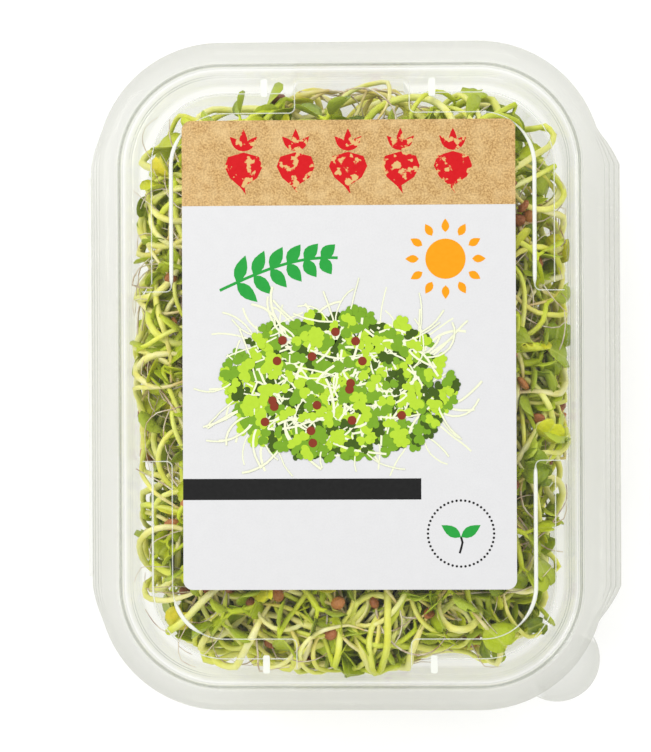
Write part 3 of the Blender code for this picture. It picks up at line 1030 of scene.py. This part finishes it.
def heapPrints():
    spec, draw = art["heap"], random.Random(art["heap"]["seed"])
    shade, stems, leaves, hulls = (spec[key] for key in ("shade", "stems", "leaves", "hulls"))
    layers, thin = spec["layers"], art["layer"]

    def spot(reach):
        turn, far = draw.uniform(0, 2 * math.pi), math.sqrt(draw.random()) * reach
        x = spec["x"] + spec["halfX"] * far * math.cos(turn)
        return x, spec["y"] + spec["halfY"] * far * math.sin(turn)

    def strand():
        (x, y), turn = spot(stems["reach"]), draw.uniform(*spec["turn"])
        bend = draw.uniform(-stems["bend"], stems["bend"])
        path = [(x, y)]
        for _ in range(8):
            turn += bend + draw.uniform(-stems["wander"], stems["wander"])
            x, y = path[-1]
            path.append((x + stems["step"] * math.cos(turn), y + stems["step"] * math.sin(turn)))
        return path

    dark = [
        heart(*spot(shade["reach"]), draw.uniform(*shade["size"]), draw.uniform(*spec["turn"]))
        for _ in range(shade["count"])
    ]
    made = [printed("printShade", dark, inks["olive"], label["top"], thin)]
    level = label["top"] + 0.02
    for layer in range(layers):
        strands = []
        for _ in range(stems["count"] // layers):
            path = strand()
            if min(y for x, y in path) > art["bar"]["high"][1] + 0.5:  # clear of the bar
                strands.append(ribbon(path, draw.uniform(*stems["wide"])))
        made.append(printed(f"printStems{layer}", strands, inks["cream"], level, thin))
        level += 0.012
        for ink, share in spec["mix"]:
            pairs = []
            for _ in range(int(leaves["count"] / layers * share)):
                x, y = spot(1.0)
                turn, size = draw.uniform(*spec["turn"]), draw.uniform(*leaves["size"])
                pairs += [heart(x, y, size, turn), heart(x, y, size, turn + draw.uniform(*leaves["apart"]))]
            name = f"print{ink[0].upper()}{ink[1:]}{layer}"
            made.append(printed(name, pairs, inks[ink], level, thin))
            level += 0.022
    brown = [disc(*spot(hulls["reach"]), hulls["radius"], 12) for _ in range(hulls["count"])]
    made.append(printed("printHulls", brown, inks["brown"], level, thin))
    return made


def makePrints():
    made, top, thin = heapPrints(), label["top"], art["layer"]
    radish, sun, sprig, ring, bar, seedling = (
        art[key] for key in ("radish", "sun", "sprig", "ring", "bar", "seedling")
    )
    row = {"Count": radish["count"], "Pitch": radish["pitch"] * mm}
    place = (-radish["pitch"] * (radish["count"] - 1) / 2, radish["middleY"], top + label["bandThick"])
    made.append(repeated("printRadishes", radishShapes(radish), inks["red"], lineTree, row, place))
    made.append(printed("printSun", [disc(sun["x"], sun["y"], sun["disc"], 40)], inks["orange"]))
    ray = lens(0, 0, sun["outer"] - sun["inner"], sun["rayWide"], 0.0)
    row = {"Count": sun["rays"], "Radius": sun["inner"] * mm}
    made.append(repeated("printRays", [ray], inks["orange"], ringTree, row, (sun["x"], sun["y"], top)))
    last = sprig["steps"]
    curve = [
        (sprig["x"] + sprig["long"] * t / last, sprig["y"] + sprig["rise"] * math.sin(1.7 * t / last))
        for t in range(last + 1)
    ]
    shapes = [ribbon(curve, sprig["stalk"])]
    for k in range(sprig["leaves"]):
        for turn in (1.25 - 0.1 * k, -0.75 - 0.05 * k):
            shapes.append(lens(*curve[2 + 2 * k], 8.0 - 0.5 * k, 3.6, turn))
    made.append(printed("printSprig", shapes, inks["green"], step=thin))
    (left, low), (right, high) = bar["low"], bar["high"]
    made.append(printed("printBar", [[(left, low), (right, low), (right, high), (left, high)]], inks["dark"]))
    row = {"Count": ring["dots"], "Radius": ring["radius"] * mm}
    dot = disc(0, 0, ring["dot"], 8)
    made.append(repeated("printDots", [dot], inks["dark"], ringTree, row, (ring["x"], ring["y"], top)))
    x, y = ring["x"], ring["y"] - 1
    leaves = [
        lens(x, y, seedling["long"], seedling["wide"], turn)
        for turn in (seedling["turn"], math.pi - seedling["turn"])
    ]
    made.append(printed("printSeedling", leaves, inks["green"], step=thin))
    stalk = ribbon([(x + 0.4 * math.sin(t), y - t) for t in seedling["stalk"]], seedling["stalkWide"])
    made.append(printed("printStalk", [stalk], inks["dark"]))
    return made


labelPieces += makePrints()
print("label made:", len(labelPieces), "pieces")


# Sprouts: a tangled heap that fills the tub and falls away towards its corners

heap = {
    "halfX": 63.5,
    "halfY": 86.0,
    "radius": 52.0,
    "top": 40.0,
    "foot": 4,
    "under": 5.6,  # how far its mean top lies below the highest
    "slope": (-6, 15.0),
    "lumps": (1.6, 0.11, 1.3, 0.09, 0.4),
    "seed": 7,
    "onTop": 460,
    "atWalls": 240,
    "onFloor": 150,
    "step": 4.6,  # of a stem's path
}
fields = {  # where stems start, and how deep or high they lie
    "top": {
        "reach": (61, 83),
        "hidden": (38, -56, 66),  # under the label
        "skipHidden": 0.55,
        "skipFar": 0.88,
        "shallow": (0.5, 4),
        "deep": (3, 9),
    },
    "wall": {"oval": (60, 82), "square": 1.25, "skipFar": 0.82, "levels": (3, 35)},
    "floor": {"longShare": 0.66, "long": (44, 55, 58), "short": (62, 73, 36), "levels": (2, 11)},
    "farEnd": 62,  # the far end is sparse
}
sprout = {
    "length": (30, 62),
    "curl": (0.2, 0.5),
    "yaw": (0, 6.283),
    "roll": (0, 6.28),
    "radius": (0.62, 1.14),
    "toneBias": 1.2,
    "leafTone": (0.58, 0.25),
    "toneVary": (-0.12, 0.12),
    "leafSize": (0.90, 1.22),
    "sizeVary": (0.9, 1.1),
    "leafReach": 6,  # what a leaf of size 1 needs before it
    "spread": (25, 75),
    "stalk": (1.6, 3.2),
    "rooted": 0.75,
    "rootLength": (14, 34),
    "rootRadius": (0.16, 0.34),
    "hulled": 0.16,
    "hullSize": (0.95, 1.25),
    "hullLift": 1.2,
    "tries": 60,
    "room": {"start": 1.2, "tip": 2.6, "leaf": 0.3},
}
wander = {
    "sway": 0.5,
    "most": 1.5,
    "wave": 2.2,
    "waveStep": 0.75,
    "steepest": 0.8,
    "turns": (0, 0.35, -0.35, 0.7, -0.7, 1.1, -1.1, 1.6, -1.6),  # tried in this order
    "room": 1.1,
}
space = {"floor": 0.7, "lid": 42.6, "channel": 36.2, "channelWide": 5.6, "underChannel": 4.4}
pressed = {"floor": 0.85, "lid": 42.9, "channel": 36.6, "channelWide": 5.4, "clear": 0.35}
innerWall = {  # the tub's inner wall, measured for the sprouts
    "endPocket": 70,
    "ledge": 21.5,
    "ledgeFall": 15.2,
    "wallFall": 17,
    "footBend": (3.5, 0.8),
}
rng = random.Random(heap["seed"])


def insetIn(x, y, area):
    radius = area["radius"]
    overX, overY = abs(x) - (area["halfX"] - radius), abs(y) - (area["halfY"] - radius)
    outside = math.hypot(max(overX, 0), max(overY, 0))
    return radius - outside - min(max(overX, overY), 0)


def wallInset(x, y, z):
    # how far in from the opening's edge the tub's inner wall stands at this height
    inPocket = abs(y) > pocket["endLong"] and (abs(x) > pocket["endShort"] or abs(y) < innerWall["endPocket"])
    ledge, wall, foot = tubShape["pocket" if inPocket else "plain"]
    shelfIn, shelf = tubShape["shelf"]
    if z > shelf:
        return space["underChannel"]
    if z > innerWall["ledge"]:
        return shelfIn + (ledge - shelfIn) * (shelf - z) / innerWall["ledgeFall"]
    if z > tubShape["wall"]:
        return wall
    bendTop, bendIn = innerWall["footBend"]
    leaning = wall + (foot - wall) * (tubShape["wall"] - z) / innerWall["wallFall"]
    return leaning + max(0, bendTop - z) * bendIn


def heapTop(x, y):
    inside = insetIn(x, y, heap)
    high, waveX, shiftX, waveY, shiftY = heap["lumps"]
    lumps = high * math.sin(waveX * x + shiftX) * math.cos(waveY * y + shiftY)
    return heap["foot"] + (heap["top"] - heap["under"] + lumps) * smoothStep(*heap["slope"], inside)


def roomFor(p, margin):
    if not space["floor"] + margin <= p.z <= space["lid"] - margin:
        return False
    fromEdge = insetIn(p.x, p.y, opening)
    if p.z > space["channel"] - margin and fromEdge < space["channelWide"] + margin:
        return False
    return fromEdge >= wallInset(p.x, p.y, p.z) + margin


def wanderStem(start, yaw, level, length, curl, flat):
    count = max(4, round(length / heap["step"]))
    path, bend = [start], rng.uniform(-curl, curl)
    phase = rng.uniform(0, 6)
    for i in range(count):
        bend += rng.uniform(-wander["sway"], wander["sway"]) * curl
        bend = max(-wander["most"] * curl, min(wander["most"] * curl, bend))
        here = path[-1]
        goal = heapTop(here.x, here.y) - level if flat else level
        goal += wander["wave"] * math.sin(phase + wander["waveStep"] * i)
        rise = max(-wander["steepest"], min(wander["steepest"], (goal - here.z) / (2.0 * heap["step"])))
        for turn in wander["turns"]:
            heading = yaw + bend + turn
            ahead = Vector((math.cos(heading), math.sin(heading), rise)).normalized()
            place = here + ahead * heap["step"]
            if roomFor(place, wander["room"]):
                break
        else:
            return None
        yaw = heading
        path.append(place)
    return path


def addStem(stems, path, thickAt, tone, alongAt):
    first = len(stems["points"])
    for i, p in enumerate(path):
        share = i / (len(path) - 1)
        stems["points"].append(p * mm)
        stems["thick"].append(thickAt(share) * mm)
        stems["tone"].append(tone)
        stems["along"].append(alongAt(share))
    stems["edges"] += [(first + i, first + i + 1) for i in range(len(path) - 1)]


def newStrands():
    return {"points": [], "edges": [], "thick": [], "tone": [], "along": []}


def newSpots():
    return {"points": [], "turn": [], "size": [], "tone": []}


def newGroup():
    return {"stems": newStrands(), "roots": newStrands(), "leaves": newSpots(), "hulls": newSpots()}


crown, flank = newGroup(), newGroup()
groups = {"crown": crown, "flank": flank}


def placeLeaf(leaves, base, forward, upward, size, tone):
    side = upward.cross(forward).normalized()
    upward = forward.cross(side).normalized()
    turn = Matrix((forward, side, upward)).transposed().to_euler()
    leaves["points"].append(base * mm)
    leaves["turn"].append(tuple(turn))
    leaves["size"].append(size)
    leaves["tone"].append(tone)


def placeHull(hulls, place, size):
    hulls["points"].append(place * mm)
    hulls["turn"].append(tuple(rng.uniform(*sprout["roll"]) for _ in range(3)))
    hulls["size"].append(size)
    hulls["tone"].append(rng.random())


def startOnTop(spec):
    x, y = (rng.uniform(-far, far) for far in spec["reach"])
    halfX, low, high = spec["hidden"]
    if abs(x) < halfX and low < y < high and rng.random() < spec["skipHidden"]:
        return None
    if y > fields["farEnd"] and rng.random() < spec["skipFar"]:
        return None
    level = rng.choice([rng.uniform(*spec[depth]) for depth in ("shallow", "shallow", "deep")])
    if insetIn(x, y, heap) < 1:
        return None
    return Vector((x, y, heapTop(x, y) - level)), level


def startAtWall(spec):
    turn = rng.uniform(0, 2 * math.pi)
    farX, farY = spec["oval"]
    x = max(-farX, min(farX, farX * math.cos(turn) * spec["square"]))
    y = max(-farY, min(farY, farY * math.sin(turn) * spec["square"]))
    if y > fields["farEnd"] and rng.random() < spec["skipFar"]:
        return None
    level = rng.uniform(*spec["levels"])
    if level > heapTop(x, y) + 2:
        return None
    return Vector((x, y, level)), level


def startOnFloor(spec):
    onLong, sign = rng.random() < spec["longShare"], rng.choice((-1, 1))
    near, far, half = spec["long" if onLong else "short"]
    if onLong:
        x, y = rng.uniform(near, far) * sign, rng.uniform(-half, half)
    else:
        x, y = rng.uniform(-half, half), rng.uniform(near, far) * sign
    level = rng.uniform(*spec["levels"])
    return Vector((x, y, level)), level


starts = {"top": startOnTop, "wall": startAtWall, "floor": startOnFloor}


def stemPath(kind):
    for _ in range(sprout["tries"]):
        found = starts[kind](fields[kind])
        if found is None or not roomFor(found[0], sprout["room"]["start"]):
            continue
        start, level = found
        yaw, length, curl = (rng.uniform(*sprout[key]) for key in ("yaw", "length", "curl"))
        path = wanderStem(start, yaw, level, length, curl, kind == "top")
        if path and roomFor(path[-1], sprout["room"]["tip"]):
            return path
    return None


def leafWays(ahead):
    # the two ways the seed leaves open, and which way each one's face looks
    spread = math.radians(rng.uniform(*sprout["spread"]))
    turns = [Matrix.Rotation(rng.uniform(*sprout["roll"]), 3, ahead) for _ in range(2)]
    side = min((turn @ ahead.orthogonal().normalized() for turn in turns), key=lambda v: abs(v.z))
    for sign in (-1, 1):
        forward = (ahead * math.cos(spread) + side * sign * math.sin(spread)).normalized()
        upward = (ahead * math.sin(spread) - side * sign * math.cos(spread)).normalized()
        yield side * sign, forward, -upward if upward.z < -0.2 else upward


def growSprout(kind, group):
    path = stemPath(kind)
    if path is None:
        return
    tip, ahead = path[-1], (path[-1] - path[-2]).normalized()
    thick, tone = rng.uniform(*sprout["radius"]), rng.random() ** sprout["toneBias"]
    addStem(group["stems"], path, lambda s: thick * (0.45 + 0.55 * smoothStep(0, 0.3, s)), tone, lambda s: s)
    leafTone = min(1.0, max(0.0, rng.gauss(*sprout["leafTone"])))
    size = rng.uniform(*sprout["leafSize"])
    for side, forward, upward in leafWays(ahead):
        stalk = rng.uniform(*sprout["stalk"])
        base = tip + forward * stalk
        reach = base + forward * sprout["leafReach"] * size
        if not roomFor(reach, sprout["room"]["leaf"]):  # bends inwards instead
            forward = (Vector((-base.x, -base.y, 20)) - Vector((0, 0, base.z))).normalized()
            forward = (forward + side * 0.5).normalized()
            base = tip + forward * stalk
        stalkPath = [tip - ahead * 0.6, tip + (ahead + forward) * 0.25 * stalk, base + forward * 0.8]
        addStem(group["stems"], stalkPath, lambda s: thick * (0.85 - 0.3 * s), tone, lambda s: 1.0)
        leafSize = size * rng.uniform(*sprout["sizeVary"])
        shade = min(1, max(0, leafTone + rng.uniform(*sprout["toneVary"])))
        placeLeaf(group["leaves"], base, forward, upward, leafSize, shade)
    if rng.random() < sprout["rooted"]:
        yaw = math.atan2(*(path[0] - path[1]).yx)
        length = rng.uniform(*sprout["rootLength"])
        root = wanderStem(path[0], yaw, max(1.5, path[0].z - 2), length, 0.5, False)
        if root:
            fine = rng.uniform(*sprout["rootRadius"])
            addStem(group["roots"], root, lambda s: fine * (1.2 - 0.8 * s), rng.random(), lambda s: s)
    if rng.random() < sprout["hulled"]:
        place = path[0] + Vector((0, 0, sprout["hullLift"]))
        placeHull(group["hulls"], place, rng.uniform(*sprout["hullSize"]))


for kind, number, group in (("top", "onTop", crown), ("wall", "atWalls", flank), ("floor", "onFloor", flank)):
    for _ in range(heap[number]):
        growSprout(kind, group)


def strandSource(name, strands):
    mesh = bpy.data.meshes.new(name)
    mesh.from_pydata([tuple(p) for p in strands["points"]], strands["edges"], [])
    for key in ("thick", "tone", "along"):
        pointValues(mesh, key, strands[key])
    return addPiece(name, mesh)


def strandTree(name, material):
    tree, given = newTree(name, (("Sides", "NodeSocketInt"), ("Smoothness", "NodeSocketInt")))
    curve, kind, fine, radius = nodesOf(
        tree, "MeshToCurve", "CurveSplineType", "SetSplineResolution", "SetCurveRadius"
    )
    circle, tube, smooth = nodesOf(tree, "CurvePrimitiveCircle", "CurveToMesh", "SetShadeSmooth")
    kind.spline_type = "CATMULL_ROM"
    circle.inputs["Radius"].default_value = 1.0
    tube.inputs["Fill Caps"].default_value = True
    joined(
        tree,
        (given, "Geometry", curve, "Mesh"),
        (curve, "Curve", kind, "Curve"),
        (kind, "Curve", fine, "Geometry"),
        (given, "Smoothness", fine, "Resolution"),
        (fine, "Geometry", radius, "Curve"),
        (radius, "Curve", tube, "Curve"),
        (given, "Sides", circle, "Resolution"),
        (circle, "Curve", tube, "Profile Curve"),
        (tube, "Mesh", smooth, "Geometry"),
    )
    tree.links.new(namedValue(tree, "thick"), radius.inputs["Radius"])
    if "Scale" in tube.inputs:
        tree.links.new(namedValue(tree, "thick"), tube.inputs["Scale"])
    return endTree(tree, smooth, "Geometry", material)


stemTree, rootTree = strandTree("stems", stemSkin), strandTree("roots", rootSkin)

# Lid beads: the pockets' outlines pressed into the panel, with a painted highlight where they run along the
# long sides

beads = {
    "insets": (14.3, 8.8),
    "shift": 1.1,  # towards the grip side
    "level": 44.0,
    "start": 6.0,
    "corner": 1.6,
    "fine": 0.17,
    "bold": 0.58,
    "squash": 0.75,
    "glint": (0.50, 0.95),  # painted highlight of a fine bead and of a bold one
    "lug": {"x": 23.4, "y": 80.4, "halfX": 0.95, "halfY": 2.5, "top": 44.5, "radius": 0.5},
}
quarters = ((1, 1), (-1, 1), (-1, -1), (1, -1))


def arcAt(middle, radius, low, high, count):
    turns = [math.radians(low + (high - low) * i / count) for i in range(count + 1)]
    return [(middle[0] + radius * math.cos(t), middle[1] + radius * math.sin(t)) for t in turns]


def beadPath(inset, closed):
    # one quarter, from the pocket's end on the long side round the corner to its end on the short side
    x, y = openX - inset, openY - inset
    endY, endX, bend = pocket["endLong"], pocket["endShort"], beads["corner"]
    middle = (bendX, bendY)
    path = [(x, endY + bend + 0.6)] + [(x, t) for t in evenSteps(endY + 3.5, middle[1] - 2, 6)]
    path += arcAt(middle, openBend - inset, 0, 90, 14)
    path += [(t, y) for t in evenSteps(middle[0] - 2, endX + bend + 1, 3)]
    if closed:
        first = [(t, endY) for t in evenSteps(openX - beads["start"], x + bend + 0.6, 3)]
        last = [(endX, t) for t in evenSteps(y + bend + 0.6, openY - beads["start"], 3)]
        path = first + arcAt((x + bend, endY + bend), bend, 270, 180, 4) + path
        path += arcAt((endX + bend, y + bend), bend, 270, 180, 4) + last
    return path


def widthAndGlintAt(x, y, closed, cornerOnly):
    fromCornerX = x - openX + openBend
    fromCornerY = y - openY + openBend
    past = math.degrees(math.atan2(fromCornerY, fromCornerX))
    along = smoothStep(pocket["endLong"] + 1, pocket["endLong"] + 4, y)
    if cornerOnly:  # the near left pocket is bold, with painted highlight, at its bend alone, and its outer line softly
        bend = smoothStep(12, 24, past) * (1 - smoothStep(50, 66, past))
        return bend if closed else 0.35 * along * (1 - smoothStep(-5, 30, past))
    if not closed or x < openX - beads["insets"][0] - 12:
        return 0.0
    return along * (1 - smoothStep(15, 60, max(0, past)))


def makeBeads():
    strands, glint = newStrands(), []
    fine, bold = beads["fine"], beads["bold"]
    dull, bright = beads["glint"]
    for signX, signY in quarters:
        for inset in beads["insets"]:
            closed = inset == beads["insets"][0]
            path = beadPath(inset, closed)
            shares = [widthAndGlintAt(x, y, closed, signX < 0 and signY < 0) for x, y in path]
            places = [Vector((x * signX + beads["shift"], y * signY, beads["level"])) for x, y in path]
            thick = [fine + (bold - fine) * share for share in shares]
            addStem(strands, places, lambda s: thick[round(s * (len(thick) - 1))], 0, lambda s: s)
            glint += [dull + (bright - dull) * share for share in shares]
    source = strandSource("lidBeads", strands)
    pointValues(source.data, "glint", glint)
    made = grown(source, strandTree("beads", clearSheet), {"Sides": 8, "Smoothness": 3}, "lidBeads")
    for vertex in made.data.vertices:
        vertex.co.z = beads["level"] * mm + (vertex.co.z - beads["level"] * mm) * beads["squash"]
    return made


def makeLugs():
    plates, spec = [], beads["lug"]
    for signX, signY in quarters:
        low = (spec["x"] * signX - spec["halfX"], spec["y"] * signY - spec["halfY"])
        high = (low[0] + 2 * spec["halfX"], low[1] + 2 * spec["halfY"])
        outline = roundedOutline(low, high, (spec["radius"],) * 4, 3)
        plates.append((outline, beads["level"] - 0.05, spec["top"]))
    lugs = slabPiece("lidLugs", plates, clearSheet)
    # painted highlight: the lugs are lit white all over
    pointValues(lugs.data, "glint", [beads["glint"][1]] * len(lugs.data.vertices))
    return lugs


lidMarks = [makeBeads(), makeLugs()]
print("lid beads made")

sproutPieces = []


def growParts(makeSource, parts):
    for side, group in groups.items():
        for part, tree, values in parts:
            name = side + part.capitalize()
            sproutPieces.append(grown(makeSource(name, group[part]), tree, values, name))
            print(name, len(sproutPieces[-1].data.polygons), "faces")


stems = ("stems", stemTree, {"Sides": 7, "Smoothness": 2})
growParts(strandSource, (stems, ("roots", rootTree, {"Sides": 4, "Smoothness": 2})))

leafShape = {
    "long": 6.8,
    "wide": 8.4,
    "thick": 0.45,
    "hub": (0.48, 0.0),
    "kinds": (  # name, cup, fold, wave
        ("leafOpen", 0.25, 0.02, 0.12),
        ("leafCupped", 0.75, 0.05, 0.08),
        ("leafFolded", 0.2, 0.30, 0.15),
    ),
}
hullShape = {
    "halfLong": 2.0,
    "halfWide": 1.75,
    "rings": 6,
    "sides": 9,
    "kinds": (("hullFlat", 0.55), ("hullRound", 0.8)),  # name, squash
}


def leafPattern(name, cup, fold, wave):
    rim = list(leafRim) + [(u, -v) for u, v in leafRim[-2::-1]]
    hub = leafShape["hub"]
    points, across, reach, under = [], [], [], []
    for lower in (0, 1):
        for ring in (0.0, 0.55, 1.0):
            for u, v in rim if ring else (hub,):
                u, v = hub[0] + (u - hub[0]) * ring, v * ring
                x, y = u * leafShape["long"], v * leafShape["wide"]
                z = cup * y * y / 8 - 0.03 * x * x + fold * abs(y) + wave * math.sin(1.4 * x + 2 * v) * ring
                z -= lower * leafShape["thick"] * (1 - 0.75 * ring**4)
                points.append((x * mm, y * mm, z * mm))
                across.append(2 * v)
                reach.append(u)
                under.append(float(lower))
    count = len(rim)
    half = 1 + 2 * count
    faces = []
    for lower in (0, 1):
        first = lower * half
        for i in range(count):
            k = (i + 1) % count
            fan = (first, first + 1 + k, first + 1 + i)
            band = (first + 1 + i, first + 1 + k, first + 1 + count + k, first + 1 + count + i)
            faces += [fan[::-1], band[::-1]] if lower else [fan, band]
    for i in range(count):
        k = (i + 1) % count
        faces.append((1 + count + i, 1 + count + k, half + 1 + count + k, half + 1 + count + i))
    leaf = outwardFaces(meshPiece(name, points, faces, leafSkin))
    for key, values in (("across", across), ("reach", reach), ("under", under)):
        pointValues(leaf.data, key, values)
    return leaf


def hullPattern(name, squash):
    rings, sides, end = hullShape["rings"], hullShape["sides"], hullShape["halfLong"]
    points, faces = [(0, 0, -end * mm)], []
    for i in range(1, rings):
        turn = math.pi * i / rings
        for k in range(sides):
            angle = 2 * math.pi * k / sides
            dent = 1 + 0.10 * math.sin(3 * angle + squash * 5) + 0.06 * math.cos(2 * turn + angle)
            wide = hullShape["halfWide"] * math.sin(turn) * dent
            place = (wide * math.cos(angle), wide * squash * math.sin(angle), -end * math.cos(turn))
            points.append(tuple(c * mm for c in place))
    points.append((0, 0, end * mm))
    for k in range(sides):
        j = (k + 1) % sides
        faces.append((0, 1 + j, 1 + k))
        for i in range(rings - 2):
            low, high = 1 + i * sides, 1 + (i + 1) * sides
            faces.append((low + k, low + j, high + j, high + k))
        faces.append((len(points) - 1, len(points) - 1 - sides + k, len(points) - 1 - sides + j))
    return outwardFaces(meshPiece(name, points, faces, hullSkin))


def patternSet(name, patterns):
    group = bpy.data.collections.new(name)
    for pattern in patterns:
        bpy.context.scene.collection.objects.unlink(pattern)
        group.objects.link(pattern)
    return group


def scatterTree(name, patterns, material):
    tree, given = newTree(name, (("Seed", "NodeSocketInt"),))
    points, choice, place = nodesOf(tree, "MeshToPoints", "CollectionInfo", "InstanceOnPoints")
    pick, turn = nodesOf(tree, "FunctionNodeRandomValue", "FunctionNodeEulerToRotation")
    choice.inputs["Collection"].default_value = patterns
    choice.inputs["Separate Children"].default_value = True
    choice.inputs["Reset Children"].default_value = True
    pick.data_type = "INT"
    pick.inputs[4].default_value = 0
    pick.inputs[5].default_value = len(patterns.objects) - 1
    place.inputs["Pick Instance"].default_value = True
    joined(
        tree,
        (given, "Geometry", points, "Mesh"),
        (points, "Points", place, "Points"),
        (choice, "Instances", place, "Instance"),
        (given, "Seed", pick, "Seed"),
        (pick, 2, place, "Instance Index"),
        (turn, "Rotation", place, "Rotation"),
    )
    tree.links.new(namedValue(tree, "turn", "FLOAT_VECTOR"), turn.inputs["Euler"])
    tree.links.new(namedValue(tree, "size"), place.inputs["Scale"])
    return endTree(tree, place, "Instances", material)


def scatterSource(name, spots):
    mesh = bpy.data.meshes.new(name)
    mesh.from_pydata([tuple(p) for p in spots["points"]], [], [])
    pointValues(mesh, "size", spots["size"])
    pointValues(mesh, "tone", spots["tone"])
    pointVectors(mesh, "turn", spots["turn"])
    return addPiece(name, mesh)


leafPatterns = patternSet("leafPatterns", [leafPattern(*kind) for kind in leafShape["kinds"]])
hullPatterns = patternSet("hullPatterns", [hullPattern(*kind) for kind in hullShape["kinds"]])
leafTree = scatterTree("leaves", leafPatterns, leafSkin)
hullTree = scatterTree("hulls", hullPatterns, hullSkin)
growParts(scatterSource, (("leaves", leafTree, {"Seed": 3}), ("hulls", hullTree, {"Seed": 5})))
for pattern in list(leafPatterns.objects) + list(hullPatterns.objects):
    bpy.data.objects.remove(pattern)


def pressInside(piece):
    # what touches the floor, the walls or the lid is pressed flat against them
    for vertex in piece.data.vertices:
        x, y, z = (c / mm for c in vertex.co)
        z = max(pressed["floor"], z)
        fromEdge = insetIn(x, y, opening)
        z = min(z, pressed["channel"] if fromEdge < pressed["channelWide"] else pressed["lid"])
        short = wallInset(x, y, z) + pressed["clear"] - fromEdge
        if short > 0:
            overX, overY = abs(x) - bendX, abs(y) - bendY
            if overX > 0 and overY > 0:
                far = math.hypot(overX, overY)
                x -= math.copysign(overX / far, x) * short
                y -= math.copysign(overY / far, y) * short
            elif overX > overY:
                x -= math.copysign(short, x)
            else:
                y -= math.copysign(short, y)
        vertex.co = (x * mm, y * mm, z * mm)


for piece in sproutPieces:
    pressInside(piece)
print("sprouts pressed inside the punnet")


# a sheet under the heap standing in for its hidden lower tangle, dark in part as painted shade
bed = {
    "columns": 26,
    "rows": 36,
    "halfX": 51.0,
    "halfY": 71.0,
    "roundness": 0.30,
    "below": 9.5,  # under the heap's own top
    "rim": 0.86,
    "foot": 1.2,
    "lumps": 1.2,
}


def makeBed():
    columns, rows, roundness = bed["columns"], bed["rows"], bed["roundness"]
    points, faces = [], []
    for j in range(rows + 1):
        for i in range(columns + 1):
            u, v = 2 * i / columns - 1, 2 * j / rows - 1
            x = bed["halfX"] * u * math.sqrt(1 - roundness * v * v)
            y = bed["halfY"] * v * math.sqrt(1 - roundness * u * u)
            rim, foot = max(abs(u), abs(v)), bed["foot"]
            z = max(foot, (heapTop(x, y) - bed["below"]) * (1 - smoothStep(bed["rim"], 1.0, rim)) + foot)
            z += bed["lumps"] * math.sin(0.9 * x) * math.cos(0.8 * y) * (rim < 0.85)
            points.append((x * mm, y * mm, z * mm))
    wide = columns + 1
    for j in range(rows):
        for i in range(columns):
            a = j * wide + i
            faces.append((a, a + 1, a + 1 + wide, a + wide))
    border = list(range(wide)) + [j * wide + columns for j in range(1, rows + 1)]
    border += [rows * wide + i for i in range(columns - 1, -1, -1)]
    border += [j * wide for j in range(rows - 1, 0, -1)]
    faces.append(tuple(reversed(border)))
    return outwardFaces(meshPiece("sproutBed", points, faces, bedShadeSkin))


sproutBed = makeBed()

# Riding, replacing and the stage

for piece in [tubShell, sproutBed] + sproutPieces:
    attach(piece, tubBody)
for piece in [lidShell] + lidMarks + labelPieces:
    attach(piece, lidBody)
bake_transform(hingeWeb)
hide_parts("tub")
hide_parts("lid")
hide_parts("label")
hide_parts(*sproutNodes)


ground = {"half": 3, "below": 0.0002, "grey": 0.45, "glow": 0.58, "roughness": 0.8}


def makeFloor():
    material, _, skin = startMaterial("floorWhite")
    skin.inputs["Base Color"].default_value = (ground["grey"],) * 3 + (1,)
    skin.inputs["Roughness"].default_value = ground["roughness"]
    skin.inputs["Emission Color"].default_value = (1, 1, 1, 1)
    skin.inputs["Emission Strength"].default_value = ground["glow"]
    half = ground["half"]
    corners = [(-half, -half, 0), (half, -half, 0), (half, half, 0), (-half, half, 0)]
    floor = meshPiece("floor", corners, [(0, 1, 2, 3)], material)
    floor.location.z = -ground["below"]


makeCamera()
makeLights()
makeFloor()
